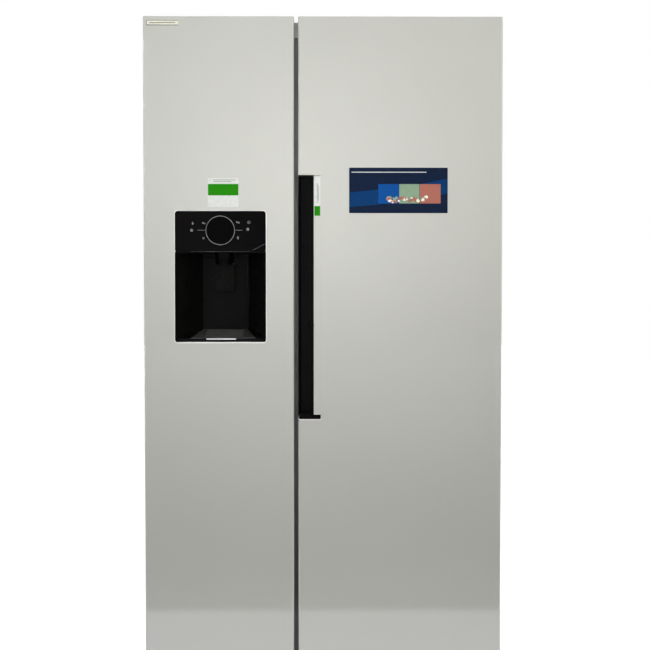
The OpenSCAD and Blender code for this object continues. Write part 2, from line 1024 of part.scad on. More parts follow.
module drip_grille() {
    color([0.25, 0.25, 0.26])
    difference() {
        intersection() {
            along_z(disp_z0 + 4, disp_z0 + 60)
                polygon([
                    [disp_c - 82, y_front + 1.5],
                    [disp_c - 58, disp_back - 5.5],
                    [disp_c + 58, disp_back - 5.5],
                    [disp_c + 82, y_front + 1.5]
                ]);
            along_x(disp_x0, disp_x1)
                polygon([[-349, 956], [-349, 958], [-229, 977], [-229, 975]]);
        }
        for (y = [-334 : 12 : -250])
            box(disp_c - 48, y, 940, disp_c + 48, y + 6, 1000);
    }
}

// Fridge door
module grip_cut() {
    box(fr_edge - 1, y_front - 1, grip_z0, lip_x1, y_front + 5, grip_z1);
    box(fr_edge - 1, y_front + 4, grip_z0, 9, y_front + 48, grip_z1);
}

module fridge_door_skin() {
    color([0.78, 0.78, 0.76])
    difference() {
        skin_of(fr_edge, hx, 1);
        grip_cut();
    }
}

module fridge_door_foam() {
    color([0.93, 0.87, 0.62])
    difference() {
        core_of(fr_edge, hx, 1);
        grip_cut();
    }
}

module fridge_door_liner() {
    color([0.94, 0.95, 0.95])
    union() {
        plate_of(fr_edge, hx, 1);
        bin_frame(fr_rib0, fr_rib1);
    }
}

module fridge_door_gasket() {
    color([0.7, 0.71, 0.71])
    gasket_of(fr_edge + 3, hx - 22);
}

module fridge_door_trim() {
    color([0.6, 0.6, 0.58])
    caps_of(fr_edge, hx, 1);
}

module fridge_door_bins() {
    color([0.85, 0.92, 0.95, 0.6])
    union() {
        for (z = [[585, 120], [800, 90], [1030, 90], [1250, 90]])
            bin(fr_rib0 + 8, fr_rib1 - 8, z[0], z[1]);
        difference() {
            box(fr_rib0 + 8, y_door, 1470, fr_rib1 - 8, -176, 1612);
            box(fr_rib0 + 11, y_door + 3, 1473, fr_rib1 - 11, -175, 1609);
            translate([fr_rib0, flap_y, flap_z])
                rotate([0, 90, 0])
                    cylinder(r = 2.5 + fit, h = 500);
        }
    }
}

module dairy_flap() {
    color([0.85, 0.92, 0.95, 0.6])
    union() {
        box(fr_rib0 + 12, flap_y - 2, 1476, fr_rib1 - 12, flap_y + 2, flap_z);
        translate([fr_rib0 + 12, flap_y, flap_z])
            rotate([0, 90, 0])
                cylinder(r = 4, h = fr_rib1 - fr_rib0 - 24);
        translate([fr_rib0 + 8.5, flap_y, flap_z])
            rotate([0, 90, 0])
                cylinder(r = 2.5, h = fr_rib1 - fr_rib0 - 17);
    }
}

module fridge_door_labels() {
    color([0.1, 0.18, 0.42])
    union() {
        box(66, y_front - label_t, 1274.5, 316, y_front, 1389.5);
        box(-20, -depth / 2, 1267, -7, -depth / 2 + label_t, 1370);
    }
}

// Section of the grip pocket from above: a low wall in the gap, the floor, the undercut and its front
module pocket_plan() {
    polygon([
        [fr_edge - 4, y_front + 32],
        [fr_edge, y_front + 32],
        [fr_edge, y_front + 45],
        [6, y_front + 45],
        [6, lip_back],
        [lip_x1, lip_back],
        [lip_x1, y_front + 4],
        [9, y_front + 4],
        [9, y_front + 48],
        [fr_edge - 4, y_front + 48]
    ]);
}

module pocket_end_plan() {
    polygon([
        [fr_edge, y_front + 1],
        [lip_x0, y_front + 1],
        [lip_x0, lip_back],
        [lip_x1, lip_back],
        [lip_x1, y_front + 4],
        [9, y_front + 4],
        [9, y_front + 48],
        [fr_edge, y_front + 48]
    ]);
}

module handle_pocket() {
    color([0.03, 0.03, 0.035])
    union() {
        along_z(grip_z0 + 3, grip_z1 - 2)
            pocket_plan();
        along_z(grip_z0, grip_z0 + 4)
            pocket_end_plan();
        along_z(grip_z1 - 3, grip_z1)
            pocket_end_plan();
        box(lip_x0, y_front - 3, grip_z0, lip_x1, lip_back, lip_z0);
    }
}

module grip_lip() {
    color([0.78, 0.78, 0.76])
    box(lip_x0, -depth / 2 + label_t, lip_z0, lip_x1, lip_back, grip_z1);
}

cabinet_shell();
cabinet_foam();
freezer_liner();
fridge_liner();
back_panel();
base_frame();
kick_plate();
machine_cover();
compressor();
condenser();
fan_shroud();
drain_pan();
refrigerant_tubes();
power_inlet();
water_valve();
hinges();
hinge_covers();
evaporator();
evaporator_cover();
ice_maker();
ice_bucket();
shelf_glass();
shelf_trims();
interior_lights();
evaporator_fan();
condenser_fan();
ice_auger();
crisper_upper();
crisper_lower();
freezer_drawer_upper();
freezer_drawer_lower();
foot_left();
foot_right();
rear_rollers();
freezer_door_skin();
freezer_door_foam();
freezer_door_liner();
freezer_door_gasket();
freezer_door_trim();
freezer_door_bins();
freezer_door_labels();
dispenser_housing();
dispenser_bezel();
dispenser_panel();
dispenser_marks();
dispenser_nozzle();
ice_chute();
dispenser_paddle();
drip_tray();
drip_grille();
fridge_door_skin();
fridge_door_foam();
fridge_door_liner();
fridge_door_gasket();
fridge_door_trim();
fridge_door_bins();
fridge_door_labels();
handle_pocket();
grip_lip();
dairy_flap();
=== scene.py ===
"""Side by side refrigerator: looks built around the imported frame. Metres, +Z up, doors face -Y."""

import math
import random

import bmesh
import bpy
from mathutils import Matrix, Vector


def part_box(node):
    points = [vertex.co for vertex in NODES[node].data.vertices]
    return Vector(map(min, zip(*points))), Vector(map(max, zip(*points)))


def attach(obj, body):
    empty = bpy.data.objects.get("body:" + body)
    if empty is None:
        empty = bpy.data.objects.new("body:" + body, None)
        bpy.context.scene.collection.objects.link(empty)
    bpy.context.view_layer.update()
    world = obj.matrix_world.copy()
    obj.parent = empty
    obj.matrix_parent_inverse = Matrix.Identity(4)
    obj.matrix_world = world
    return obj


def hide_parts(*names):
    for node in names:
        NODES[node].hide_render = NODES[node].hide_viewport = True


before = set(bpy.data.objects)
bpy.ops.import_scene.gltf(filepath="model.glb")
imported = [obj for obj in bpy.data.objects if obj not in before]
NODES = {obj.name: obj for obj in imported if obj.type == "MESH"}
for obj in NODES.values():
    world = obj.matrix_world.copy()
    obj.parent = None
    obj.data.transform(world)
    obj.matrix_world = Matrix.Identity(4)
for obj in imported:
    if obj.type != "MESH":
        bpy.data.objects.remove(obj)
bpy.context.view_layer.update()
MM = 0.001


# ---------------------------------------------------------------- materials


class Shader:
    """A Principled material whose colour, roughness and bump come from noise in the frame's metres."""

    def __init__(self, name, colour, roughness, metallic=0.0, **sockets):
        self.material = bpy.data.materials.new(name)
        self.material.use_nodes = True
        self.tree = self.material.node_tree
        self.tree.nodes.clear()
        self.output = self.add("ShaderNodeOutputMaterial")
        self.bsdf = self.add("ShaderNodeBsdfPrincipled")
        self.link(self.bsdf, "BSDF", self.output, "Surface")
        self.place = self.add("ShaderNodeTexCoord")
        self.colour = (*colour, 1.0)
        self.roughness = roughness
        self.bsdf.inputs["Base Color"].default_value = self.colour
        self.bsdf.inputs["Roughness"].default_value = roughness
        self.bsdf.inputs["Metallic"].default_value = metallic
        for socket, value in sockets.items():
            self.bsdf.inputs[socket.replace("_", " ")].default_value = value

    def add(self, kind, **settings):
        node = self.tree.nodes.new(kind)
        for key, value in settings.items():
            setattr(node, key, value)
        return node

    def link(self, a, out, b, into):
        self.tree.links.new(a.outputs[out], b.inputs[into])

    def noise(self, scale, detail, stretch=(1, 1, 1)):
        """Noise with `scale` features to the metre, stretched along the frame's axes."""
        mapping = self.add("ShaderNodeMapping")
        mapping.inputs["Scale"].default_value = stretch
        texture = self.add("ShaderNodeTexNoise")
        texture.inputs["Scale"].default_value = scale
        texture.inputs["Detail"].default_value = detail
        texture.inputs["Roughness"].default_value = 0.55
        self.link(self.place, "Object", mapping, "Vector")
        self.link(mapping, "Vector", texture, "Vector")
        return texture

    def vary_colour(self, scale, amount, detail=4.0, tint=None):
        """Moves the base colour up and down by `amount` of itself, or towards a tint."""
        texture = self.noise(scale, detail)
        ramp = self.add("ShaderNodeValToRGB")
        low = tint or [c * (1 - amount) for c in self.colour[:3]]
        high = [min(1.0, c * (1 + amount)) for c in self.colour[:3]]
        ramp.color_ramp.elements[0].position = 0.32
        ramp.color_ramp.elements[0].color = (*low, 1)
        ramp.color_ramp.elements[1].position = 0.68
        ramp.color_ramp.elements[1].color = (*high, 1)
        self.link(texture, "Fac", ramp, "Fac")
        self.link(ramp, "Color", self.bsdf, "Base Color")
        return self

    def vary_roughness(self, scale, spread):
        """Moves the roughness up and down by `spread`."""
        texture = self.noise(scale, 5.0)
        spread_map = self.add("ShaderNodeMapRange")
        spread_map.inputs["From Min"].default_value = 0.3
        spread_map.inputs["From Max"].default_value = 0.7
        spread_map.inputs["To Min"].default_value = max(0.0, self.roughness - spread)
        spread_map.inputs["To Max"].default_value = min(1.0, self.roughness + spread)
        self.link(texture, "Fac", spread_map, "Value")
        self.link(spread_map, "Result", self.bsdf, "Roughness")
        return self

    def bump(self, scale, height_mm, strength, stretch=(1, 1, 1)):
        """Adds a layer of bump; layers stack."""
        texture = self.noise(scale, 2.0, stretch)
        bump = self.add("ShaderNodeBump")
        bump.inputs["Strength"].default_value = strength
        bump.inputs["Distance"].default_value = height_mm * MM
        self.link(texture, "Fac", bump, "Height")
        if self.bsdf.inputs["Normal"].is_linked:
            before = self.bsdf.inputs["Normal"].links[0].from_node
            self.link(before, "Normal", bump, "Normal")
        self.link(bump, "Normal", self.bsdf, "Normal")
        return self

    def wear(self, colour, amount):
        """Paler or darker convex edges, where hands and packing rub."""
        geometry = self.add("ShaderNodeNewGeometry")
        ramp = self.add("ShaderNodeValToRGB")
        ramp.color_ramp.elements[0].position = 0.53
        ramp.color_ramp.elements[1].position = 0.62
        mix = self.add("ShaderNodeMix", data_type="RGBA")
        mix.inputs["B"].default_value = (*colour, 1)
        scaled = self.add("ShaderNodeMath", operation="MULTIPLY")
        scaled.inputs[1].default_value = amount
        self.link(geometry, "Pointiness", ramp, "Fac")
        self.link(ramp, "Color", scaled, 0)
        self.link(scaled, "Value", mix, "Factor")
        if self.bsdf.inputs["Base Color"].is_linked:
            before = self.bsdf.inputs["Base Color"].links[0].from_socket
            self.tree.links.new(before, mix.inputs["A"])
        else:
            mix.inputs["A"].default_value = self.colour
        self.tree.links.new(mix.outputs["Result"], self.bsdf.inputs["Base Color"])
        return self


# each row: name, colour, roughness and metallic; other sockets; how the colour varies (scale, amount,
# detail, tint); how the roughness varies (scale, spread), or not at all; bump (scale, mm, strength,
# stretch); and for some how worn edges look (colour, amount)
MATERIALS = {
    "door": (("silver_door_paint", (0.64, 0.64, 0.605), 0.42, 0.15),
        dict(Coat_Weight=1.0, Coat_Roughness=0.025), (3.0, 0.012), (30, 0.03), (3.5, 0.35, 0.02)),
    "cabinet": (("grey_cabinet_paint", (0.16, 0.165, 0.17), 0.42), dict(Coat_Weight=0.2),
        (4.0, 0.04), (40, 0.05), (900, 0.06, 0.35)),
    "zinc": (("zinc_coated_steel", (0.36, 0.37, 0.38), 0.42, 0.75), {},
        (45, 0.12, 6), (60, 0.1), (220, 0.05, 0.2)),
    "black_steel": (("black_enamel_steel", (0.02, 0.02, 0.022), 0.38), dict(Coat_Weight=0.3),
        (20, 0.2), (70, 0.09), (420, 0.08, 0.3), ((0.12, 0.12, 0.12), 0.5)),
    "foam": (("insulating_foam", (0.83, 0.74, 0.45), 0.95), {},
        (60, 0.08), (), (700, 0.3, 0.8)),
    "white": (("white_liner_plastic", (0.82, 0.83, 0.83), 0.34), dict(Coat_Weight=0.1),
        (3.0, 0.008), (40, 0.02), (900, 0.02, 0.1)),
    "trim": (("grey_trim_plastic", (0.44, 0.44, 0.425), 0.42), {},
        (15, 0.02), (60, 0.06), (1300, 0.05, 0.3)),
    "dark": (("dark_moulded_plastic", (0.045, 0.046, 0.05), 0.5), {},
        (18, 0.12), (70, 0.09), (1500, 0.06, 0.45), ((0.14, 0.14, 0.145), 0.35)),
    "gloss_black": (("gloss_black_plastic", (0.0012, 0.0012, 0.0012), 0.12), dict(Specular_IOR_Level=0.14),
        (8, 0.3), (14, 0.05), (7, 0.25, 0.03)),
    "satin_black": (("satin_black_plastic", (0.003, 0.003, 0.003), 0.34), dict(Specular_IOR_Level=0.2),
        (12, 0.2), (35, 0.07), (1400, 0.03, 0.3)),
    "cavity": (("cavity_black_plastic", (0.0042, 0.0042, 0.0039), 0.32), dict(Specular_IOR_Level=0.18),
        (12, 0.2), (35, 0.07), (1400, 0.03, 0.3)),
    "satin_plate": (("satin_black_plate", (0.0040, 0.0040, 0.0041), 0.34), dict(Specular_IOR_Level=0.15),
        (12, 0.15), (35, 0.07), (1400, 0.03, 0.3)),
    "grille": (("grey_grille_plastic", (0.05, 0.05, 0.049), 0.4), {},
        (15, 0.1), (50, 0.08), (1200, 0.04, 0.35)),
    "mark": (("pale_printed_mark", (0.16, 0.165, 0.17), 0.4), {},
        (90, 0.1), (90, 0.06), (900, 0.01, 0.2)),
    # a pale line painted as the highlight along the control panel's lower edge and up its corner
    "panel_highlight_paint": (("painted_highlight_line", (0.07, 0.07, 0.07), 0.4), {},
        (60, 0.35), (90, 0.06), (900, 0.01, 0.2)),
    # the panel's brownish colour, mottled towards blue, is a painted reflection
    "panel": (("black_panel_glass", (0.0030, 0.0020, 0.0015), 0.04), dict(Specular_IOR_Level=0.28),
        (9, 0.1, 4, (0.0005, 0.0009, 0.0016)), (18, 0.025), (5, 0.2, 0.02)),
    # pale edges whose paleness is a painted highlight: the dispenser's rim and sill, the edge round the
    # grip's foot, the tray's front edge
    "rim": (("pale_rim_painted_highlight", (0.92, 0.92, 0.9), 0.3), dict(Coat_Weight=0.5),
        (20, 0.03), (60, 0.05), (900, 0.01, 0.2)),
    "flange": (("dark_flange_plastic", (0.09, 0.09, 0.088), 0.45), {},
        (15, 0.06), (60, 0.06), (1300, 0.05, 0.3)),
    "clear": (("clear_bin_plastic", (0.86, 0.92, 0.95), 0.12),
        dict(Transmission_Weight=0.85, IOR=1.25, Alpha=0.75), (10, 0.02), (30, 0.05), (300, 0.03, 0.15)),
    "glass": (("shelf_glass", (0.82, 0.93, 0.9), 0.03), dict(Transmission_Weight=0.95, IOR=1.3, Alpha=0.6),
        (5, 0.02), (20, 0.015), (4, 0.1, 0.02)),
    "rubber": (("grey_gasket_rubber", (0.36, 0.365, 0.365), 0.62), {},
        (40, 0.05), (90, 0.07), (900, 0.06, 0.4)),
    "black_rubber": (("black_roller_rubber", (0.03, 0.03, 0.03), 0.7), {},
        (60, 0.15), (90, 0.08), (800, 0.12, 0.5)),
    "fins": (("aluminium_fins", (0.72, 0.73, 0.74), 0.3, 1.0), {},
        (50, 0.05), (70, 0.08), (500, 0.03, 0.3)),
    "silver": (("satin_silver_metal", (0.7, 0.71, 0.71), 0.26, 0.9), {},
        (30, 0.03), (120, 0.05), (1800, 0.01, 0.2, (0.05, 1, 1))),
    "copper": (("copper_tube", (0.7, 0.36, 0.2), 0.3, 1.0), {},
        (30, 0.15, 4, (0.42, 0.2, 0.12)), (60, 0.1), (300, 0.04, 0.25)),
    "brass": (("valve_brass", (0.72, 0.55, 0.25), 0.3, 1.0), {},
        (40, 0.1), (80, 0.08), (300, 0.04, 0.25)),
    "light": (("light_lens", (0.95, 0.95, 0.9), 0.25), dict(Transmission_Weight=0.2),
        (20, 0.02), (50, 0.05), (700, 0.1, 0.4)),
}
INKS = {
    "paper_cream": (0.86, 0.85, 0.74), "paper_white": (0.7, 0.72, 0.69),
    "ink_green": (0.018, 0.235, 0.004), "ink_navy": (0.007, 0.015, 0.04),
    "ink_blue": (0.004, 0.04, 0.14), "ink_red": (0.42, 0.15, 0.11),
    "ink_dark": (0.03, 0.035, 0.03), "ink_sky": (0.006, 0.075, 0.3),
    "ink_leaf": (0.25, 0.36, 0.25), "ink_grey": (0.3, 0.32, 0.3),
}
MATERIALS.update({
    key: (("label_" + key, colour, 0.42), dict(Specular_IOR_Level=0.08),
          (120, 0.06), (60, 0.06), (400, 0.02, 0.3))
    for key, colour in INKS.items()
})


def make_materials():
    made = {}
    for key, (paint, sockets, colour, roughness, bump, *wear) in MATERIALS.items():
        shader = Shader(*paint, **sockets).vary_colour(*colour)
        if roughness:
            shader.vary_roughness(*roughness)
        shader.bump(*bump)
        if wear:
            shader.wear(*wear[0])
        made[key] = shader.material
    return made


M = make_materials()


# ---------------------------------------------------------------- mesh helpers, in millimetres

SHARP_DEG = 30


def finish_piece(name, bm, material, body, slot, replaces=(), cutters=()):
    """Turns a bmesh into a shaded piece that rides on its body, with the cutters' shapes cut out of it."""
    bmesh.ops.recalc_face_normals(bm, faces=bm.faces)
    mesh = bpy.data.meshes.new(name)
    bm.to_mesh(mesh)
    bm.free()
    mesh.materials.append(M[material])
    obj = bpy.data.objects.new(name, mesh)
    bpy.context.scene.collection.objects.link(obj)
    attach(obj, body)
    if replaces:
        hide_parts(*replaces)
    for draw in cutters:
        cut(obj, draw)
    soften(obj)


def cut(obj, draw):
    """Cuts a closed shape, which draw makes in a bmesh, out of a piece."""
    bm = bmesh.new()
    draw(bm)
    bmesh.ops.recalc_face_normals(bm, faces=bm.faces)
    mesh = bpy.data.meshes.new("cutter")
    bm.to_mesh(mesh)
    bm.free()
    tool = bpy.data.objects.new("cutter", mesh)
    bpy.context.scene.collection.objects.link(tool)
    modifier = obj.modifiers.new("cut", "BOOLEAN")
    modifier.operation = "DIFFERENCE"
    modifier.solver = "EXACT"
    modifier.object = tool
    bpy.context.view_layer.update()
    graph = bpy.context.evaluated_depsgraph_get()
    result = bpy.data.meshes.new_from_object(obj.evaluated_get(graph))
    obj.modifiers.clear()
    obj.data = result
    bpy.data.objects.remove(tool)


def soften(obj):
    """Smooth shading with sharp edges marked, and flat faces that stay flat under it."""
    for polygon in obj.data.polygons:
        polygon.use_smooth = True
    obj.data.set_sharp_from_angle(angle=math.radians(SHARP_DEG))
    weighted = obj.modifiers.new("flat_faces", "WEIGHTED_NORMAL")
    weighted.keep_sharp = True


def rounded_outline(x0, x1, z0, z1, r, steps=6):
    """Points of a rounded rectangle, anticlockwise from its lower right corner."""
    r = min(r, (x1 - x0) / 2, (z1 - z0) / 2)
    corners = [(x1 - r, z0 + r, -90), (x1 - r, z1 - r, 0), (x0 + r, z1 - r, 90), (x0 + r, z0 + r, 180)]
    points = []
    for cx, cz, start in corners:
        for k in range(steps + 1):
            a = math.radians(start + 90 * k / steps)
            points.append((cx + r * math.cos(a), cz + r * math.sin(a)))
    return points


def ring_faces(bm, a, b):
    """Quads between two rings of vertices with as many points."""
    n = len(a)
    for i in range(n):
        bm.faces.new((a[i], a[(i + 1) % n], b[(i + 1) % n], b[i]))


def skin_rings(bm, rings):
    """A skin through rings of points, with flat ends."""
    loops = [[bm.verts.new(Vector(p) * MM) for p in ring] for ring in rings]
    for a, b in zip(loops, loops[1:]):
        ring_faces(bm, a, b)
    bm.faces.new(loops[0][::-1])
    bm.faces.new(loops[-1])


def card(bm, x0, x1, z0, z1, y0, y1, r=2.0, edge=0.4, steps=5):
    """A flat plate in the X-Z plane from y0, its front, to y1, with a rounded outline and front edge."""
    rings = []
    for k in range(4):
        a = math.radians(90 * k / 3)
        inset = edge * (1 - math.sin(a))
        outline = rounded_outline(x0 + inset, x1 - inset, z0 + inset, z1 - inset, max(r - inset, 0.05), steps)
        rings.append([(x, y0 + edge * (1 - math.cos(a)), z) for x, z in outline])
    outline = rounded_outline(x0, x1, z0, z1, r, steps)
    rings.append([(x, y1, z) for x, z in outline])
    skin_rings(bm, rings)


def block(bm, x0, y0, z0, x1, y1, z1, r=1.0, segments=2):
    """A box with every edge rounded."""
    made = bmesh.ops.create_cube(bm, size=1.0)
    for v in made["verts"]:
        v.co = Vector((
            (x0 if v.co.x < 0 else x1) * MM,
            (y0 if v.co.y < 0 else y1) * MM,
            (z0 if v.co.z < 0 else z1) * MM,
        ))
    if r > 0:
        limit = 0.45 * min(abs(x1 - x0), abs(y1 - y0), abs(z1 - z0))
        edges = {e for v in made["verts"] for e in v.link_edges}
        bmesh.ops.bevel(bm, geom=list(edges), offset=min(r, limit) * MM, segments=segments,
                        profile=0.5, affect="EDGES")


def lathe(bm, profile, centre, axis, steps):
    """Turns (radius, height) points about an axis through centre, given in mm."""
    turn = {
        "Z": Matrix.Identity(3),
        "Y": Matrix(((1, 0, 0), (0, 0, 1), (0, -1, 0))),
    }[axis]
    loops = []
    for radius, height in profile:
        if radius < 1e-6:
            loops.append([bm.verts.new((Vector(centre) + turn @ Vector((0, 0, height))) * MM)])
            continue
        ring = []
        for k in range(steps):
            a = 2 * math.pi * k / steps
            point = turn @ Vector((radius * math.cos(a), radius * math.sin(a), height))
            ring.append(bm.verts.new((Vector(centre) + point) * MM))
        loops.append(ring)
    for a, b in zip(loops, loops[1:]):
        if len(a) == 1 and len(b) == 1:
            continue
        if len(a) == 1:
            for i in range(steps):
                bm.faces.new((a[0], b[(i + 1) % steps], b[i]))
        elif len(b) == 1:
            for i in range(steps):
                bm.faces.new((a[i], a[(i + 1) % steps], b[0]))
        else:
            ring_faces(bm, a, b)
    return loops


def tube(bm, points, radius, steps):
    """A round tube along points in mm."""
    points = [Vector(p) for p in points]
    rings = []
    side = None
    for i, p in enumerate(points):
        ahead = points[min(i + 1, len(points) - 1)] - points[max(i - 1, 0)]
        ahead.normalize()
        if side is None:
            side = ahead.orthogonal().normalized()
        side = (side - ahead * side.dot(ahead)).normalized()
        other = ahead.cross(side)
        ring = []
        for k in range(steps):
            a = 2 * math.pi * k / steps
            ring.append(p + (side * math.cos(a) + other * math.sin(a)) * radius)
        rings.append(ring)
    skin_rings(bm, rings)


def dress(node, material, width_mm):
    """Gives a CAD node its material and, with modifiers only, rounded edges."""
    obj = NODES[node]
    obj.data.materials.clear()
    obj.data.materials.append(M[material])
    if "custom_normal" in obj.data.attributes:
        obj.data.attributes.remove(obj.data.attributes["custom_normal"])
    for polygon in obj.data.polygons:
        polygon.use_smooth = True
        polygon.material_index = 0
    if "sharp_edge" in obj.data.attributes:
        obj.data.attributes.remove(obj.data.attributes["sharp_edge"])
    weld = obj.modifiers.new("weld", "WELD")
    weld.merge_threshold = 0.02 * MM
    if width_mm > 0:
        bevel = obj.modifiers.new("edge", "BEVEL")
        bevel.width = width_mm * MM
        bevel.segments = 2
        bevel.limit_method = "ANGLE"
        bevel.angle_limit = math.radians(40)
        bevel.use_clamp_overlap = True
        bevel.miter_outer = "MITER_ARC"
        bevel.harden_normals = True


def frame_sweep(bm, x0, x1, z0, z1, profile, corner, steps):
    """A closed frame round a rectangle; profile is closed, as (distance in from the rectangle, y)."""
    loops = []
    for inset, y in profile:
        outline = rounded_outline(x0 + inset, x1 - inset, z0 + inset, z1 - inset,
                                  max(corner - inset, 0.3), steps)
        loops.append([bm.verts.new(Vector((x, y, z)) * MM) for x, z in outline])
    for a, b in zip(loops, loops[1:] + loops[:1]):
        ring_faces(bm, a, b)


def rounded_tray(bm, x0, y0, z0, x1, y1, z1, r, t=3.0):
    """An open tray with walls t thick, rounded corners, a rounded foot and rounded rims."""
    mid = z1 - t / 2

    def level(inset, z):
        outline = rounded_outline(x0 + inset, x1 - inset, y0 + inset, y1 - inset, max(r - inset, 0.6), 6)
        return [(x, y, z) for x, y in outline]

    rings = [
        level(4, z0), level(1.2, z0 + 1.2), level(0, z0 + 4),
        level(0.02, mid), level(0.3 * t, z1 - 0.15 * t), level(0.5 * t, z1), level(0.7 * t, z1 - 0.15 * t),
        level(t, mid), level(t, z0 + t + 4), level(t + 1.2, z0 + t + 1.2), level(t + 4, z0 + t),
    ]
    skin_rings(bm, rings)


def fillet(points, radii, steps=6):
    """An X-Y outline with its corners rounded, each by its own radius."""
    made = []
    n = len(points)
    for i, (p, r) in enumerate(zip(points, radii)):
        p = Vector(p)
        a = (Vector(points[i - 1]) - p)
        b = (Vector(points[(i + 1) % n]) - p)
        if r <= 0:
            made.append(tuple(p))
            continue
        half = a.angle(b) / 2
        reach = min(r / math.tan(half), 0.49 * a.length, 0.49 * b.length)
        start, end = p + a.normalized() * reach, p + b.normalized() * reach
        for k in range(steps + 1):
            t = k / steps
            made.append(tuple(start * (1 - t) ** 2 + p * 2 * t * (1 - t) + end * t ** 2))
    return made


def arc(cx, cy, r, start, end, steps=10):
    """Points of an arc from start to end, in degrees."""
    turns = [math.radians(start + (end - start) * k / steps) for k in range(steps + 1)]
    return [(cx + r * math.cos(a), cy + r * math.sin(a)) for a in turns]


def slab(bm, outline, y0, y1):
    """An X-Z outline carried from y0 to y1."""
    skin_rings(bm, [[(x, y, z) for x, z in outline] for y in (y0, y1)])


def bar(bm, outline, x0, x1):
    """A Y-Z outline carried from x0 to x1."""
    skin_rings(bm, [[(x, y, z) for y, z in outline] for x in (x0, x1)])


def post(bm, outline, z0, z1):
    """An X-Y outline carried from z0 to z1."""
    skin_rings(bm, [[(x, y, z) for x, y in outline] for z in (z0, z1)])


def span(node):
    """A CAD node's box in millimetres: x0, y0, z0, x1, y1, z1."""
    low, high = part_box(node)
    return [*(low / MM), *(high / MM)]


# ---------------------------------------------------------------- places, in millimetres

FX0, Y_FRONT, _, FX1, Y_DOOR, Z_TOP = span("freezer_door_skin")
RX0, _, _, RX1, _, _ = span("fridge_door_skin")
BX0, BY0, BZ0, BX1, _, BZ1 = span("dispenser_bezel")
_, PY0, PZ0, _, PY1, _ = span("dispenser_panel")
DX0, _, DZ0, DX1, DY1, DZ1 = span("dispenser_housing")
LX0, LY0, LZ0, LX1, LY1, LZ1 = span("grip_lip")
HX0, HY0, HZ0, HX1, HY1, HZ1 = span("handle_pocket")
LIP_X = LX0 - 2.8  # the left edge of the silver lip
SKIN = 1.0  # thickness of a door's steel
EDGE_R = 5.0  # radius of a door's long front edges
CAVITY_TOP = PZ0 - 3
CAVITY_LOW = DZ0 + 4.5
CAVITY_MID = -254.0  # middle of the dispenser's back wall
CAVITY_BACK = DY1 - 3.5
CAVITY_HALF = 62.0  # half the width of the back wall
DIAL_X, DIAL_Z = -260.8, 1230.6
BIN_R, DRAWER_R = 18, 14
FRIDGE_BIN_Y = -182


# ---------------------------------------------------------------- door skins


def door_skin(name, node, body, cutters):
    """Sheet steel bent round a door's front and sides, with rounded ends."""
    x0, y0, z0, x1, y1, z1 = span(node)
    bm = bmesh.new()

    def ring(inset, z):
        r = EDGE_R - inset
        outer = [(x0 + inset, y1)]
        outer += arc(x0 + EDGE_R, y0 + EDGE_R, r, 180, 270)
        outer += arc(x1 - EDGE_R, y0 + EDGE_R, r, 270, 360)
        outer += [(x1 - inset, y1)]
        r = EDGE_R - SKIN
        inner = [(x1 - SKIN, y1)]
        inner += arc(x1 - EDGE_R, y0 + EDGE_R, r, 360, 270)
        inner += arc(x0 + EDGE_R, y0 + EDGE_R, r, 270, 180)
        inner += [(x0 + SKIN, y1)]
        return [(x, y, z) for x, y in outer + inner]

    skin_rings(bm, [ring(0.55, z0), ring(0.16, z0 + 0.16), ring(0, z0 + 0.55),
                    ring(0, z1 - 0.55), ring(0.16, z1 - 0.16), ring(0.55, z1)])
    finish_piece(name, bm, "door", body, "door_silver", [node], cutters)


def notch_cutter(side):
    """Room for the upper hinge arm, in the outer top corner of a door."""
    _, _, z0, _, _, _ = span("hinge_covers")
    edge = FX0 if side < 0 else RX1
    inner = edge - side * 40
    xs = sorted((inner, edge + side * 5))
    return lambda bm: block(bm, xs[0], Y_FRONT + 14, z0 - 2, xs[1], Y_DOOR + 5, Z_TOP + 5, 0)


def groove_cutter(bm):
    """The finger groove in the freezer door's edge."""
    block(bm, FX1 - 3, Y_FRONT + 9, HZ0, FX1 + 3, Y_FRONT + 37, HZ1, 0)


def dispenser_cutter(bm):
    slab(bm, rounded_outline(DX0, DX1, DZ0, DZ1, 5), Y_FRONT - 5, Y_FRONT + 5)


def grip_cutter(bm):
    slab(bm, rounded_outline(RX0 - 20, LX1 - 0.4, HZ0 + 2.4, HZ1 + 0.3, 4), Y_FRONT - 5, Y_FRONT + 5)


def grip_side_cutter(bm):
    block(bm, RX0 - 3, Y_FRONT + 4, HZ0, RX0 + 5, Y_FRONT + 48, HZ1, 0)


def make_doors():
    door_skin("freezer_skin", "freezer_door_skin", "freezer_door",
              [dispenser_cutter, groove_cutter, notch_cutter(-1)])
    door_skin("fridge_skin", "fridge_door_skin", "fridge_door",
              [grip_cutter, grip_side_cutter, notch_cutter(1)])


def make_top_strip():
    """A trim strip that closes the step between the cabinet roof and the door tops."""
    _, y0, _, _, _, roof = span("cabinet_shell")
    front = y0 - 2.5
    profile = fillet([(front, roof + 0.1), (front, roof + 38.5), (front + 3, roof + 38.5),
                      (front + 5, roof + 3), (front + 40, roof + 3), (front + 40, roof + 0.1)],
                     [0.4, 1.4, 1.4, 4, 1.2, 0.2], 5)
    bm = bmesh.new()
    bar(bm, profile, FX0 + 58, RX1 - 58)
    finish_piece("top_strip", bm, "trim", "cabinet", "trim_grey")


# ---------------------------------------------------------------- grip on the fridge door


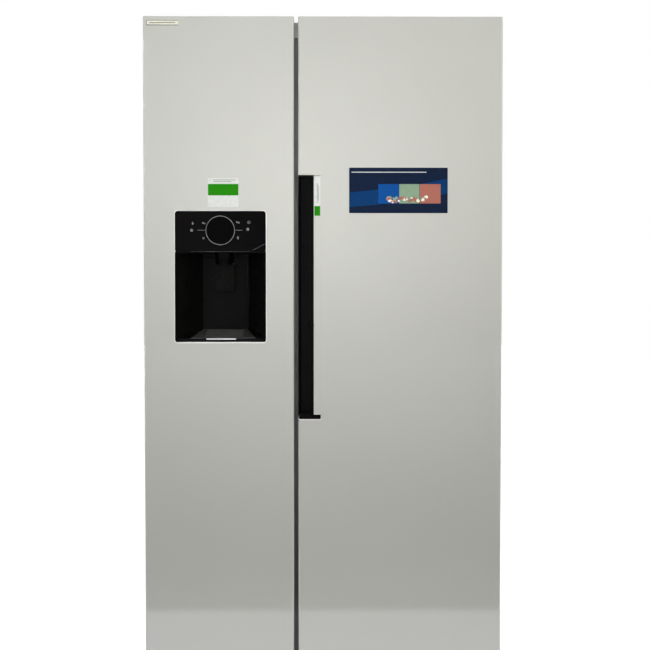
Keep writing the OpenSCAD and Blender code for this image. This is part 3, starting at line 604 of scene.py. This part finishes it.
def make_grip():
    # silver lip that stands beside the pocket
    bm = bmesh.new()
    outline = [(LIP_X, LY0), (LX1, LY0), (LX1, LY1), (LIP_X, LY1)]
    outline = fillet(outline, [1.6, 0.5, 0.3, 0.4])
    low, top = LZ0 + 1.8, LZ1 - 1.6
    rings = []
    for inset, z in ((0.8, low), (0.25, low + 0.25), (0, low + 0.8), (0, top - 0.8),
                     (0.25, top - 0.25), (0.8, top)):
        mx, my = (LIP_X + LX1) / 2, (LY0 + LY1) / 2
        ring = []
        for x, y in outline:
            x += inset if x < mx else -inset
            y += inset if y < my else 0
            ring.append((x, y, z))
        rings.append(ring)
    skin_rings(bm, rings)
    finish_piece("grip_lip_bar", bm, "door", "fridge_door", "door_silver", ["grip_lip"])

    # black pocket, closed at its ends
    bm = bmesh.new()
    floor_y = Y_FRONT + 45
    inner_x = HX1 - 3
    outline = [
        (RX0 + 0.3, Y_FRONT + 30), (RX0 + 2.6, Y_FRONT + 30), (RX0 + 2.6, floor_y), (inner_x, floor_y),
        (inner_x, LY1), (LX1, LY1), (LX1, LY1 - 3), (HX1, LY1 - 3), (HX1, HY1), (RX0 + 0.3, HY1),
    ]
    outline = fillet(outline, [0.5, 0.5, 9, 16, 0.4, 0.3, 0.3, 1.5, 2, 0.5])
    post(bm, outline, HZ0 + 3, HZ1 - 2.5)
    ends = fillet([(RX0 + 0.3, Y_FRONT + 0.8), (LX0, Y_FRONT + 0.8), (LX0, LY1 - 3.4), (HX1, LY1 - 3.4),
                   (HX1, HY1), (RX0 + 0.3, HY1)], [0.8, 0.3, 0.3, 1, 2, 0.5])
    for z0, z1 in ((HZ0 + 0.2, HZ0 + 4), (HZ1 - 3, HZ1 - 0.2)):
        post(bm, ends, z0, z1)
    finish_piece("grip_pocket", bm, "satin_black", "fridge_door", "dark_plastic", ["handle_pocket"])

    # gloss black foot under the lip
    bm = bmesh.new()
    foot_top = LZ0 + 1.4
    foot_low = HZ0 + 5.4
    outline = [(RX0 + 1.6, foot_low), (LX1 - 0.6, foot_low), (LX1 - 0.6, foot_top),
               (LIP_X + 1, foot_top), (LIP_X - 3, foot_top + 5), (RX0 + 1, foot_top + 6)]
    outline = fillet(outline, [2.5, 4.5, 4.5, 6, 5, 2], 8)
    rings = []
    cx = (RX0 + LX1) / 2
    cz = (foot_low + foot_top) / 2
    for inset, y in ((1.3, HY0), (0.4, HY0 + 0.35), (0, HY0 + 1.2), (0, LY1)):
        rings.append([(x + (inset if x < cx else -inset), y, z + (inset if z < cz else -inset))
                      for x, z in outline])
    skin_rings(bm, rings)
    finish_piece("grip_foot", bm, "gloss_black", "fridge_door", "dark_plastic")

    # fine pale edge round the foot; its paleness is a painted highlight on the door's cut edge
    bm = bmesh.new()
    edge = fillet([(RX0 + 0.4, HZ0 + 14), (RX0 + 0.4, HZ0 + 2.2), (LX1 + 0.2, HZ0 + 2.2),
                   (LX1 + 0.2, HZ0 + 8), (LX1 - 0.6, foot_low + 0.1), (RX0 + 2.2, foot_low + 0.1),
                   (RX0 + 1.4, HZ0 + 14)],
                  [0.2, 3.5, 4.5, 0.3, 3.8, 2.2, 0.2], 6)
    slab(bm, edge, Y_FRONT - 1.2, Y_FRONT + 1.5)
    finish_piece("grip_edge", bm, "rim", "fridge_door", "door_silver")

    # grey flange on the door's edge, in the gap between the doors
    bm = bmesh.new()
    block(bm, HX0, Y_FRONT + 32, HZ0 + 3, RX0 - 0.1, HY1, HZ1 - 2, 0.8, 2)
    block(bm, RX0 - 0.2, HY1 - 3, HZ0 + 3, RX0 + 1, HY1, HZ1 - 2, 0.3, 1)
    finish_piece("grip_flange", bm, "flange", "fridge_door", "trim_grey")


# ---------------------------------------------------------------- dispenser

MARK_Y = (PY0 - 0.35, PY0 + 0.1)  # front and back of a mark on the panel
DIAL_ARMS = ((-318, -299), (-222.6, -204))
SYMBOLS = (
    (-330.5, 1249, "drop"), (-302.5, 1249, "cube"), (-333, 1231, "disc"), (-302.5, 1211, "bars"),
    (-216, 1251, "cube"), (-188, 1251, "ring"), (-191, 1233.5, "disc"), (-216, 1212, "drop"),
)


def chute_cutter(bm):
    """The way through the cavity's roof for the ice."""
    block(bm, CAVITY_MID - 37, Y_FRONT + 24, CAVITY_TOP - 4, CAVITY_MID + 37, Y_FRONT + 62, CAVITY_TOP + 6, 0)


def make_cavity():
    """The recess: a shell whose inside narrows to the back, its back plate and the paddle's lugs."""
    bm = bmesh.new()

    def level(y, half_left, half_right, z0, z1, r):
        outline = rounded_outline(CAVITY_MID - half_left, CAVITY_MID + half_right, z0, z1, r, 10)
        return [(x, y, z) for x, z in outline]

    def between(t, start, end):
        return start + (end - start) * t

    left, right = CAVITY_MID - (DX0 + 3.5), DX1 - 3.5 - CAVITY_MID
    low, high = CAVITY_LOW, CAVITY_TOP
    taper_steps = 8
    rings = [level(CAVITY_BACK + 3.2, CAVITY_HALF + 3, CAVITY_HALF + 3, low - 4, high + 2.8, 14)]
    rings.append(level(Y_FRONT + 1.2, left + 3, right + 3, low - 4, high + 2.8, 6))
    rings.append(level(Y_FRONT + 0.2, left + 2.6, right + 2.6, low - 3.6, high + 2.4, 6))
    for y, r in ((Y_FRONT + 0.2, 5), (Y_FRONT + 1.5, 5.5)):
        rings.append(level(y, left - 0.2, right - 0.2, low, high - 0.5, r))
    for k in range(1, taper_steps):
        t = k / taper_steps
        y = between(t, Y_FRONT + 1.5, CAVITY_BACK)
        rings.append(level(y, between(t, left, CAVITY_HALF), between(t, right, CAVITY_HALF),
                           low, high - 0.5, between(t, 5.5, 9)))
    for inset, back in ((0, 5), (0.6, 2.4), (2.4, 0.6), (5, 0)):
        rings.append(level(CAVITY_BACK - back, CAVITY_HALF - inset, CAVITY_HALF - inset,
                           low + inset * 0.5, high - 0.5 - inset, 9 - inset * 0.5))
    skin_rings(bm, rings)
    finish_piece("dispenser_cavity", bm, "cavity", "freezer_door", "black_gloss", ["dispenser_housing"],
                 [chute_cutter])

    bm = bmesh.new()
    card(bm, CAVITY_MID - 56, CAVITY_MID + 56, low + 22, high - 10,
         CAVITY_BACK - 2.4, CAVITY_BACK + 0.6, 7, 1.2)
    finish_piece("dispenser_back_plate", bm, "satin_plate", "freezer_door", "black_gloss")
    paddle_x0, _, _, paddle_x1, _, _ = span("dispenser_paddle")
    bm = bmesh.new()
    for x in (paddle_x0 - 1, paddle_x1 - 4):
        side = fillet([(-271, CAVITY_TOP), (-271, CAVITY_TOP - 30), (-257, CAVITY_TOP - 36),
                       (-257, CAVITY_TOP)], [0.5, 6, 6, 0.5])
        bar(bm, side, x, x + 5)
    finish_piece("paddle_lugs", bm, "satin_black", "freezer_door", "black_gloss")


def make_surround():
    """A fine pale rim, a black border inside it, and the bright sill below; the paleness of the rim and sill
    is a painted highlight.
    """
    bm = bmesh.new()
    frame_sweep(bm, BX0, BX1, BZ0, BZ1, [(0.0, Y_FRONT), (0.0, BY0 + 0.6), (0.35, BY0), (0.8, BY0),
                                         (2.4, BY0 + 1.2), (2.4, Y_FRONT)], 9.0, 8)
    finish_piece("dispenser_rim", bm, "rim", "freezer_door", "aluminium_fins", ["dispenser_bezel"])
    bm = bmesh.new()
    frame_sweep(bm, BX0 + 2.3, BX1 - 2.3, BZ0 + 2.3, PZ0 + 1.5,
                [(0.0, Y_FRONT), (0.0, BY0 + 0.4), (0.6, BY0 + 0.2), (2.8, BY0 + 0.5), (3.9, Y_FRONT + 0.6),
                 (3.9, Y_FRONT + 1.5), (0.0, Y_FRONT + 1.5)], 7.5, 8)
    finish_piece("dispenser_border", bm, "gloss_black", "freezer_door", "black_gloss")

    bm = bmesh.new()
    sill = fillet([(Y_FRONT + 1, BZ0 + 1.2), (BY0 + 0.05, BZ0 + 1.2), (BY0 + 0.05, BZ0 + 3.4),
                   (Y_FRONT + 1, BZ0 + 6.1)], [0.2, 0.7, 1.6, 0.2], 5)
    bar(bm, sill, BX0 + 4, BX1 - 4)
    finish_piece("dispenser_sill", bm, "rim", "freezer_door", "aluminium_fins")


def make_panel():
    """The glass panel with its dial, generic symbols and fine lines; the pale lines on its lower edge paint a
    highlight.
    """
    bm = bmesh.new()
    card(bm, BX0 + 2.2, BX1 - 2.2, PZ0 - 1.5, BZ1 - 2.2, PY0, PY1, 7.5, 0.9, 8)
    finish_piece("control_panel", bm, "panel", "freezer_door", "black_gloss", ["dispenser_panel"])

    dial = (DIAL_X, PY0, DIAL_Z)
    bm = bmesh.new()
    section = [(37.3, 0.0), (37.3, 0.3), (36.9, 0.5), (35.8, 0.5), (35.4, 0.3), (35.4, 0.0)]
    loops = lathe(bm, [(r, -h) for r, h in section], dial, "Y", 96)
    ring_faces(bm, loops[-1], loops[0])
    finish_piece("dial_ring", bm, "mark", "freezer_door", "mark_silver", ["dispenser_marks"])
    bm = bmesh.new()
    lathe(bm, [(0, -0.05), (33.6, -0.05), (34.6, -0.02), (35.2, 0.1), (0, 0.2)], dial, "Y", 96)
    finish_piece("dial_face", bm, "gloss_black", "freezer_door", "black_gloss")
    bm = bmesh.new()
    for x0, x1 in DIAL_ARMS:
        card(bm, x0, x1, 1230.4, 1231.8, *MARK_Y, 0.6, 0.12, 3)
    for x, z, kind in SYMBOLS:
        symbol(bm, x, z, kind)
    finish_piece("panel_symbols", bm, "mark", "freezer_door", "mark_silver")
    # pale lines along the panel's lower edge and up its corner facet: a painted highlight
    bm = bmesh.new()
    card(bm, -334, -183, PZ0 - 1.1, PZ0 + 0.2, PY0 - 0.12, PY0 + 0.3, 0.5, 0.1, 3)
    slab(bm, [(-183, PZ0 - 1.0), (-148.5, PZ0 + 17.4), (-148.5, PZ0 + 18.8), (-183.6, PZ0 + 0.2)],
         PY0 - 0.12, PY0 + 0.3)
    finish_piece("panel_edge_highlight", bm, "panel_highlight_paint", "freezer_door", "mark_silver")


def make_spout():
    """The ring under the chute, turned about the nozzle's axis."""
    nx0, ny0, nz0, nx1, ny1, nz1 = span("dispenser_nozzle")
    bm = bmesh.new()
    centre = ((nx0 + nx1) / 2, (ny0 + ny1) / 2, nz0)
    tall = nz1 - nz0
    profile = [(17.2, 0), (19.2, 0), (20, 0.8), (22, tall * 0.5), (22.8, tall * 0.52), (24, tall),
               (20.6, tall), (16.5, 1.2)]
    loops = lathe(bm, profile, centre, "Z", 64)
    ring_faces(bm, loops[-1], loops[0])
    finish_piece("spout", bm, "gloss_black", "freezer_door", "black_gloss", ["dispenser_nozzle"])


def make_tray_edge():
    """A finger edge on the front of the drip tray, pale to paint the glint on the tray's front."""
    tray_y = span("drip_tray")[1]
    bm = bmesh.new()
    block(bm, -297, tray_y - 0.2, BZ0 + 9.2, -221, tray_y + 2.2, BZ0 + 12.8, 0.9, 3)
    finish_piece("tray_finger_edge_glint", bm, "rim", "drip_tray", "aluminium_fins")


def make_paddle():
    """The paddle: a plate with a dished face and narrowed foot, on a round hub and pin."""
    px0, py0, pz0, px1, py1, pz1 = span("dispenser_paddle")
    bm = bmesh.new()
    rows, columns = 14, 10
    x0, x1 = px0 + 5, px1 - 5
    bottom, top = pz0, pz1 - 3
    face = []
    for i in range(rows + 1):
        z = bottom + (top - bottom) * i / rows
        line = []
        for j in range(columns + 1):
            x = x0 + (x1 - x0) * j / columns
            u, v = 2 * j / columns - 1, 2 * i / rows - 1
            dish = 2.2 * max(0.0, (1 - u * u)) * max(0.0, 1 - v * v)
            corner = 4 * max(0.0, -v - 0.7) / 0.3
            x = x + (corner if u < -0.99 else -corner if u > 0.99 else 0)
            line.append((x, py0 + 0.4 + dish, z))
        face.append(line)
    front = [[bm.verts.new(Vector(p) * MM) for p in line] for line in face]
    back = [[bm.verts.new(Vector((p[0], py1 - 0.2, p[2])) * MM) for p in line] for line in face]
    for grid in (front, back):
        for i in range(rows):
            for j in range(columns):
                bm.faces.new((grid[i][j], grid[i][j + 1], grid[i + 1][j + 1], grid[i + 1][j]))
    rims = [grid[0] + [r[-1] for r in grid[1:]] + grid[-1][-2::-1] + [r[0] for r in grid[-2:0:-1]]
            for grid in (front, back)]
    ring_faces(bm, *rims)
    hub_y, hub_z = (py0 + py1) / 2, pz1 - 3.6
    tube(bm, [(x0, hub_y, hub_z), (x1, hub_y, hub_z)], 3.6, 24)
    tube(bm, [(px0, hub_y, hub_z), (px1, hub_y, hub_z)], 2.3, 20)
    finish_piece("ice_paddle", bm, "cavity", "dispenser_paddle", "dark_plastic",
                 ["dispenser_paddle"])


def symbol(bm, x, z, kind):
    """A small generic symbol on the control panel."""
    if kind == "disc":
        lathe(bm, [(0, 0.1), (3.6, 0.1), (3.9, -0.1), (3.9, -0.3), (0, -0.35)], (x, PY0, z), "Y", 24)
    elif kind == "ring":
        section = [(3.9, 0.1), (3.9, -0.3), (2.6, -0.3), (2.6, 0.1)]
        loops = lathe(bm, section, (x, PY0, z), "Y", 24)
        ring_faces(bm, loops[-1], loops[0])
        card(bm, x - 0.6, x + 0.6, z - 1.6, z + 1.6, *MARK_Y, 0.4, 0.1, 2)
    elif kind == "cube":
        card(bm, x - 4.2, x - 0.3, z - 1.5, z + 2.6, *MARK_Y, 0.7, 0.1, 3)
        card(bm, x + 0.3, x + 4.2, z - 2.8, z + 1.2, *MARK_Y, 0.7, 0.1, 3)
    elif kind == "bars":
        for k in (-1, 0, 1):
            card(bm, x - 3.4, x + 3.4 - abs(k) * 1.5, z + 1.9 * k - 0.5, z + 1.9 * k + 0.5,
                 *MARK_Y, 0.4, 0.1, 2)
    else:
        outline = [(x, z + 4.2), (x - 1.4, z + 1.6), (x - 2.7, z - 0.8), (x - 1.8, z - 3.2),
                   (x, z - 3.9), (x + 1.8, z - 3.2), (x + 2.7, z - 0.8), (x + 1.4, z + 1.6)]
        slab(bm, outline, *MARK_Y)


# ---------------------------------------------------------------- labels: plain cards, no lettering


# fronts and backs of the layers, from the surface that a card is stuck to
CARD = (-0.2, 0.0)
BORDER = (-0.3, -0.15)
PRINT = (-0.32, -0.15)
BAND = (-0.28, -0.15)
TILE = (-0.36, -0.2)
CORNER_R, LINE_R, PROMO_R = 0.8, 0.3, 2

FREEZER_LABELS = (
    ("corner_label", "paper_cream", CARD, CORNER_R, [(-446, -366, 1747, 1760)], ["freezer_door_labels"]),
    ("corner_label_border", "ink_dark", BORDER, LINE_R,
     [(-446, -366, 1747, 1748.6), (-446, -366, 1759, 1760), (-446, -445, 1747, 1760),
      (-438, -374, 1752.6, 1754.2)], []),
    ("feature_label", "paper_white", CARD, CORNER_R, [(-292, -214, 1290, 1363)], []),
    ("feature_label_green", "ink_green", PRINT, CORNER_R, [(-291.5, -214.5, 1319, 1348)], []),
    ("feature_label_lines", "ink_grey", PRINT, LINE_R,
     [(-278, -222, 1357.5, 1359), (-278, -232, 1353.5, 1355)], []),
)
PROMO_BAND = [(68, 1290), (140, 1296), (230, 1306), (314, 1324),
              (314, 1362), (230, 1344), (140, 1334), (68, 1327)]
PROMO_PRINT = (
    ("promo_tile_sky", "ink_sky", TILE, CORNER_R, [(140, 192, 1299, 1348)], []),
    ("promo_tile_leaf", "ink_leaf", TILE, CORNER_R, [(193, 244, 1299, 1348)], []),
    ("promo_tile_red", "ink_red", TILE, CORNER_R, [(245, 298, 1299, 1348)], []),
    ("promo_line", "paper_white", PRINT, LINE_R, [(72, 262, 1377, 1379)], []),
)
LIP_LABELS = (
    ("lip_label", "paper_white", CARD, CORNER_R, [(LIP_X + 1.4, -7, 1267, 1366)], []),
    ("lip_label_green", "ink_green", PRINT, CORNER_R, [(LIP_X + 1.8, -7.4, 1267.5, 1292)], []),
    ("lip_label_line", "ink_grey", PRINT, LINE_R,
     [(-15.5, -14, 1300, 1350), (-12.5, -11.3, 1306, 1344)], []),
)


def layers(rows, body, slot, surface):
    """One piece a row: boxes (x0, x1, z0, z1) of one colour, stuck to or printed on a surface."""
    for name, ink, (front, back), r, boxes, replaces in rows:
        bm = bmesh.new()
        for x0, x1, z0, z1 in boxes:
            card(bm, x0, x1, z0, z1, surface + front, surface + back, r, 0.05, 3)
        finish_piece(name, bm, ink, body, slot, replaces)


def make_labels():
    """Every card on the doors, in the order that they are laid on."""
    layers(FREEZER_LABELS, "freezer_door", "label_paper", Y_FRONT)
    promo = ("fridge_door", "promo_paper")
    layers([("promo_card", "ink_navy", CARD, PROMO_R, [(66, 316, 1274.5, 1389.5)], ["fridge_door_labels"])],
           *promo, Y_FRONT)
    bm = bmesh.new()
    slab(bm, PROMO_BAND, Y_FRONT + BAND[0], Y_FRONT + BAND[1])
    finish_piece("promo_band", bm, "ink_blue", *promo)
    layers(PROMO_PRINT, *promo, Y_FRONT)
    # a heap of plain fruit shapes along the foot of the tiles
    fruit = random.Random(11)
    for key in ("paper_cream", "ink_leaf", "ink_red"):
        bm = bmesh.new()
        for _ in range(18):
            x, z, r = fruit.uniform(160, 262), fruit.uniform(1303, 1315), fruit.uniform(2.2, 5.0)
            depth = fruit.uniform(0.02, 0.05)
            lathe(bm, [(0, 0.2), (r, 0.2), (r * 0.97, -depth), (0, -0.04 - depth)],
                  (x, Y_FRONT + TILE[0], z), "Y", 20)
        finish_piece("promo_fruit_" + key.split("_")[1], bm, key, *promo)
    layers(LIP_LABELS, "fridge_door", "label_paper", LY0)


# ---------------------------------------------------------------- gaskets, bins, drawers


def make_gaskets():
    """Magnetic door seals with a folded section."""
    for side, body in (("freezer", "freezer_door"), ("fridge", "fridge_door")):
        x0, y0, z0, x1, y1, z1 = span(f"{side}_door_gasket")
        bm = bmesh.new()
        profile = [(2.0, y0), (0.6, y0 + 2), (0.2, y0 + 4), (1.4, y0 + 5.2), (0.2, y0 + 6.6),
                   (0.4, y1 - 1), (1.4, y1), (9.5, y1), (10.4, y1 - 1.2), (10.2, y0 + 6),
                   (8.6, y0 + 4.6), (11, y0 + 3.4), (13.6, y0 + 2), (13.8, y0 + 0.6), (12.6, y0)]
        frame_sweep(bm, x0, x1, z0, z1, profile, 14, 8)
        finish_piece(f"{side}_gasket_bellows", bm, "rubber", body, "gasket_rubber",
                     [f"{side}_door_gasket"])


def make_bins():
    """Door bins, each by its floor and its height, and the dairy box."""
    x0, _, _, x1, y1, _ = span("freezer_door_bins")
    bm = bmesh.new()
    for z, h in ((585, 110), (760, 100), (1520, 95)):
        rounded_tray(bm, x0, Y_DOOR + 0.2, z, x1, y1, z + h, BIN_R)
    finish_piece("freezer_bins", bm, "clear", "freezer_door", "clear_plastic", ["freezer_door_bins"])
    x0, _, _, x1, y1, z1 = span("fridge_door_bins")
    bm = bmesh.new()
    for z, h in ((585, 120), (800, 90), (1030, 90), (1250, 90)):
        rounded_tray(bm, x0, Y_DOOR + 0.2, z, x1, FRIDGE_BIN_Y, z + h, BIN_R)
    finish_piece("fridge_bins", bm, "clear", "fridge_door", "clear_plastic", ["fridge_door_bins"])
    # the dairy box: a frame open to the front, with a back wall
    bm = bmesh.new()
    low = z1 - 142
    frame_sweep(bm, x0, x1, low, z1, [(0, Y_DOOR + 0.3), (0, y1 - 1), (0.6, y1), (2.4, y1), (3, y1 - 1),
                                      (3, Y_DOOR + 3), (2, Y_DOOR + 0.3)], 9, 6)
    card(bm, x0 + 2.5, x1 - 2.5, low + 2.5, z1 - 2.5, Y_DOOR + 0.3, Y_DOOR + 3, 6, 0.4, 5)
    finish_piece("dairy_box", bm, "clear", "fridge_door", "clear_plastic")


def make_drawers():
    """Drawers: a tray, a taller front and a curled grip across it."""
    for node in ("crisper_upper", "crisper_lower", "freezer_drawer_upper", "freezer_drawer_lower"):
        x0, y0, z0, x1, y1, z1 = span(node)
        front = y0 + 10
        wall = front + 4
        top = z1 - 4
        bm = bmesh.new()
        rounded_tray(bm, x0, wall, z0, x1, y1, top, DRAWER_R)
        card(bm, x0, x1, z0, z1, front, wall + 0.6, 6, 1.6, 6)
        ledge = fillet([(front + 0.5, top - 26), (y0 + 1.5, top - 27), (y0, top - 29), (y0 + 0.5, top - 34),
                        (y0 + 3.5, top - 33), (y0 + 4, top - 30.5), (front + 0.5, top - 30)],
                       [0.3, 1, 1, 1, 1, 1, 0.3], 4)
        bar(bm, ledge, x0 + 40, x1 - 40)
        finish_piece(node + "_box", bm, "clear", node, "clear_plastic", [node])


# ---------------------------------------------------------------- CAD nodes that stay: finish and soft edges

# each node: its material, and how wide its rounded edges are
FINISHES = {
    "cabinet_shell": ("cabinet", 0.8),
    "cabinet_foam": ("foam", 0),
    "freezer_liner": ("white", 0.8),
    "fridge_liner": ("white", 0.8),
    "back_panel": ("zinc", 0.7),
    "base_frame": ("cabinet", 0.4),
    "kick_plate": ("dark", 1.0),
    "machine_cover": ("zinc", 0.3),
    "compressor": ("black_steel", 2.0),
    "condenser": ("black_steel", 0.3),
    "fan_shroud": ("dark", 0.6),
    "drain_pan": ("dark", 1.0),
    "refrigerant_tubes": ("copper", 0),
    "power_inlet": ("dark", 0.8),
    "water_valve": ("brass", 0.8),
    "hinges": ("zinc", 0.6),
    "hinge_covers": ("trim", 2.0),
    "evaporator": ("fins", 0.2),
    "evaporator_cover": ("white", 0.5),
    "ice_maker": ("white", 1.5),
    "ice_bucket": ("clear", 1.2),
    "shelf_glass": ("glass", 0.9),
    "shelf_trims": ("silver", 0.8),
    "interior_lights": ("light", 2.5),
    "evaporator_fan": ("dark", 0.4),
    "condenser_fan": ("dark", 0.4),
    "ice_auger": ("zinc", 0.6),
    "foot_left": ("dark", 0.8),
    "foot_right": ("dark", 0.8),
    "rear_rollers": ("black_rubber", 1.2),
    "freezer_door_foam": ("foam", 0),
    "freezer_door_liner": ("white", 2.0),
    "freezer_door_trim": ("trim", 0.6),
    "ice_chute": ("white", 0.8),
    "drip_tray": ("satin_black", 1.0),
    "drip_grille": ("grille", 0.5),
    "fridge_door_foam": ("foam", 0),
    "fridge_door_liner": ("white", 2.0),
    "fridge_door_trim": ("trim", 0.6),
    "dairy_flap": ("clear", 1.0),
}


# ---------------------------------------------------------------- camera, light, floor

CAMERA_LENS = 76.3
CAMERA_PLACE = (-0.03, Y_FRONT * MM - 3.5, 1.10)
CAMERA_DOWN_DEG, CAMERA_RIGHT_DEG = 1.79, 0.57
WARM = (1, 0.995, 0.975)
ROOM_LOW, ROOM_HIGH = 0.04, 0.31
# how brightly the floor glows to glossy rays, a painted reflection in the doors, from 8 m in front of the
# origin (0) to the origin (1)
FLOOR_MIRROR = ((0.0, 0.4), (0.5, 0.25), (0.75, 0.12), (0.815, 0.14), (0.826, 2.3), (1.0, 2.4))


def make_camera():
    data = bpy.data.cameras.new("camera")
    data.sensor_width = 36.0
    data.lens = CAMERA_LENS
    camera = bpy.data.objects.new("camera", data)
    camera.location = CAMERA_PLACE
    camera.rotation_euler = (math.radians(90 - CAMERA_DOWN_DEG), 0, math.radians(-CAMERA_RIGHT_DEG))
    bpy.context.scene.collection.objects.link(camera)
    bpy.context.scene.camera = camera


def area_light(name, place, target, size, watts, colour=(1, 1, 1), spread=180):
    data = bpy.data.lights.new(name, "AREA")
    data.shape = "RECTANGLE"
    data.size = data.size_y = size
    data.spread = math.radians(spread)
    data.energy = watts
    data.color = colour
    light = bpy.data.objects.new(name, data)
    light.location = place
    light.rotation_euler = (Vector(target) - Vector(place)).to_track_quat("-Z", "Y").to_euler()
    bpy.context.scene.collection.objects.link(light)
    return light


def make_world():
    """White behind the object; everything else is lit by a softly mottled room."""
    world = bpy.data.worlds.new("studio")
    bpy.context.scene.world = world
    world.use_nodes = True
    tree = world.node_tree
    tree.nodes.clear()
    new, join = tree.nodes.new, tree.links.new
    output = new("ShaderNodeOutputWorld")
    path = new("ShaderNodeLightPath")
    mix = new("ShaderNodeMixShader")
    place = new("ShaderNodeTexCoord")
    noise = new("ShaderNodeTexNoise")
    noise.inputs["Scale"].default_value = 5.0
    noise.inputs["Detail"].default_value = 2.0
    spread = new("ShaderNodeMapRange")
    spread.inputs["From Min"].default_value = 0.35
    spread.inputs["From Max"].default_value = 0.65
    spread.inputs["To Min"].default_value = ROOM_LOW
    spread.inputs["To Max"].default_value = ROOM_HIGH
    room = new("ShaderNodeBackground")
    white = new("ShaderNodeBackground")
    white.inputs["Strength"].default_value = 1.0
    white.inputs["Color"].default_value = (1, 1, 1, 1)
    patches = new("ShaderNodeTexNoise")
    patches.inputs["Scale"].default_value = 2.2
    tints = new("ShaderNodeValToRGB")
    tints.color_ramp.elements[0].position = 0.4
    tints.color_ramp.elements[0].color = (0.82, 0.93, 1.0, 1)
    tints.color_ramp.elements[1].position = 0.6
    tints.color_ramp.elements[1].color = (1.0, 0.95, 0.88, 1)
    join(place.outputs["Generated"], patches.inputs["Vector"])
    join(patches.outputs["Fac"], tints.inputs["Fac"])
    join(tints.outputs["Color"], room.inputs["Color"])
    join(place.outputs["Generated"], noise.inputs["Vector"])
    join(noise.outputs["Fac"], spread.inputs["Value"])
    join(spread.outputs["Result"], room.inputs["Strength"])
    join(room.outputs[0], mix.inputs[1])
    join(white.outputs[0], mix.inputs[2])
    join(path.outputs["Is Camera Ray"], mix.inputs[0])
    join(mix.outputs[0], output.inputs[0])


def make_floor():
    """A pale floor. To glossy rays it glows instead, brighter near the doors and dimmer further out, a
    painted reflection in the doors.
    """
    bm = bmesh.new()
    bmesh.ops.create_grid(bm, x_segments=8, y_segments=8, size=20.0)
    mesh = bpy.data.meshes.new("floor")
    bm.to_mesh(mesh)
    bm.free()
    floor = bpy.data.objects.new("floor", mesh)
    bpy.context.scene.collection.objects.link(floor)
    paint = Shader("pale_floor", (0.9, 0.9, 0.895), 0.8)
    paint.vary_colour(2.0, 0.008)
    paint.bsdf.inputs["Emission Color"].default_value = (1, 1, 1, 1)
    paint.bsdf.inputs["Emission Strength"].default_value = 0.85
    split = paint.add("ShaderNodeSeparateXYZ")
    paint.link(paint.place, "Object", split, "Vector")
    ramp = paint.add("ShaderNodeValToRGB")
    scaled = paint.add("ShaderNodeMapRange")
    scaled.inputs["From Min"].default_value = -8.0
    scaled.inputs["From Max"].default_value = 0.0
    paint.link(split, "Y", scaled, "Value")
    paint.link(scaled, "Result", ramp, "Fac")
    elements = ramp.color_ramp.elements
    while len(elements) < len(FLOOR_MIRROR):
        elements.new(0.5)
    for element, (where, level) in zip(elements, FLOOR_MIRROR):
        element.position = where
        element.color = (level, level, level, 1)
    mirror = paint.add("ShaderNodeEmission")
    paint.link(ramp, "Color", mirror, "Color")
    glow = paint.add("ShaderNodeEmission")
    glow.inputs["Color"].default_value = (1, 1, 1, 1)
    glow.inputs["Strength"].default_value = 0.02
    path = paint.add("ShaderNodeLightPath")
    unseen = paint.add("ShaderNodeMixShader")
    paint.link(path, "Is Glossy Ray", unseen, 0)
    paint.link(glow, "Emission", unseen, 1)
    paint.link(mirror, "Emission", unseen, 2)
    mix = paint.add("ShaderNodeMixShader")
    paint.link(path, "Is Camera Ray", mix, 0)
    paint.link(unseen, "Shader", mix, 1)
    paint.link(paint.bsdf, "BSDF", mix, 2)
    paint.link(mix, "Shader", paint.output, "Surface")
    mesh.materials.append(paint.material)


def main():
    bpy.context.scene.view_settings.view_transform = "Standard"
    make_camera()
    make_world()
    make_floor()
    for light in (
        area_light("front_left", (-1.2, -2.2, 2.0), (-0.1, -0.3, 1.35), 1.3, 13, WARM),
        area_light("front_right", (1.3, -2.1, 1.95), (0.1, -0.3, 1.35), 1.3, 15.5, WARM),
        area_light("front", (-0.06, -3.9, 1.45), (-0.07, -0.3, 1.36), 0.5, 4.2, WARM, spread=44),
        area_light("left", (-3.4, -0.6, 2.2), (-0.4, 0, 0.8), 1.8, 26),
        area_light("right", (3.4, -0.6, 2.2), (0.4, 0, 0.9), 1.8, 26),
        area_light("rear", (1.2, 3.4, 2.6), (0, 0, 0.8), 2.4, 42),
        area_light("above", (0, 0.2, 3.4), (0, 0.1, 0), 1.6, 22),
    ):
        light.visible_glossy = light.name in ("left", "right")
    make_doors()
    make_top_strip()
    make_grip()
    make_cavity()
    make_surround()
    make_panel()
    make_spout()
    make_tray_edge()
    make_paddle()
    make_labels()
    make_gaskets()
    make_bins()
    make_drawers()
    for node, (key, width) in FINISHES.items():
        dress(node, key, width)


main()
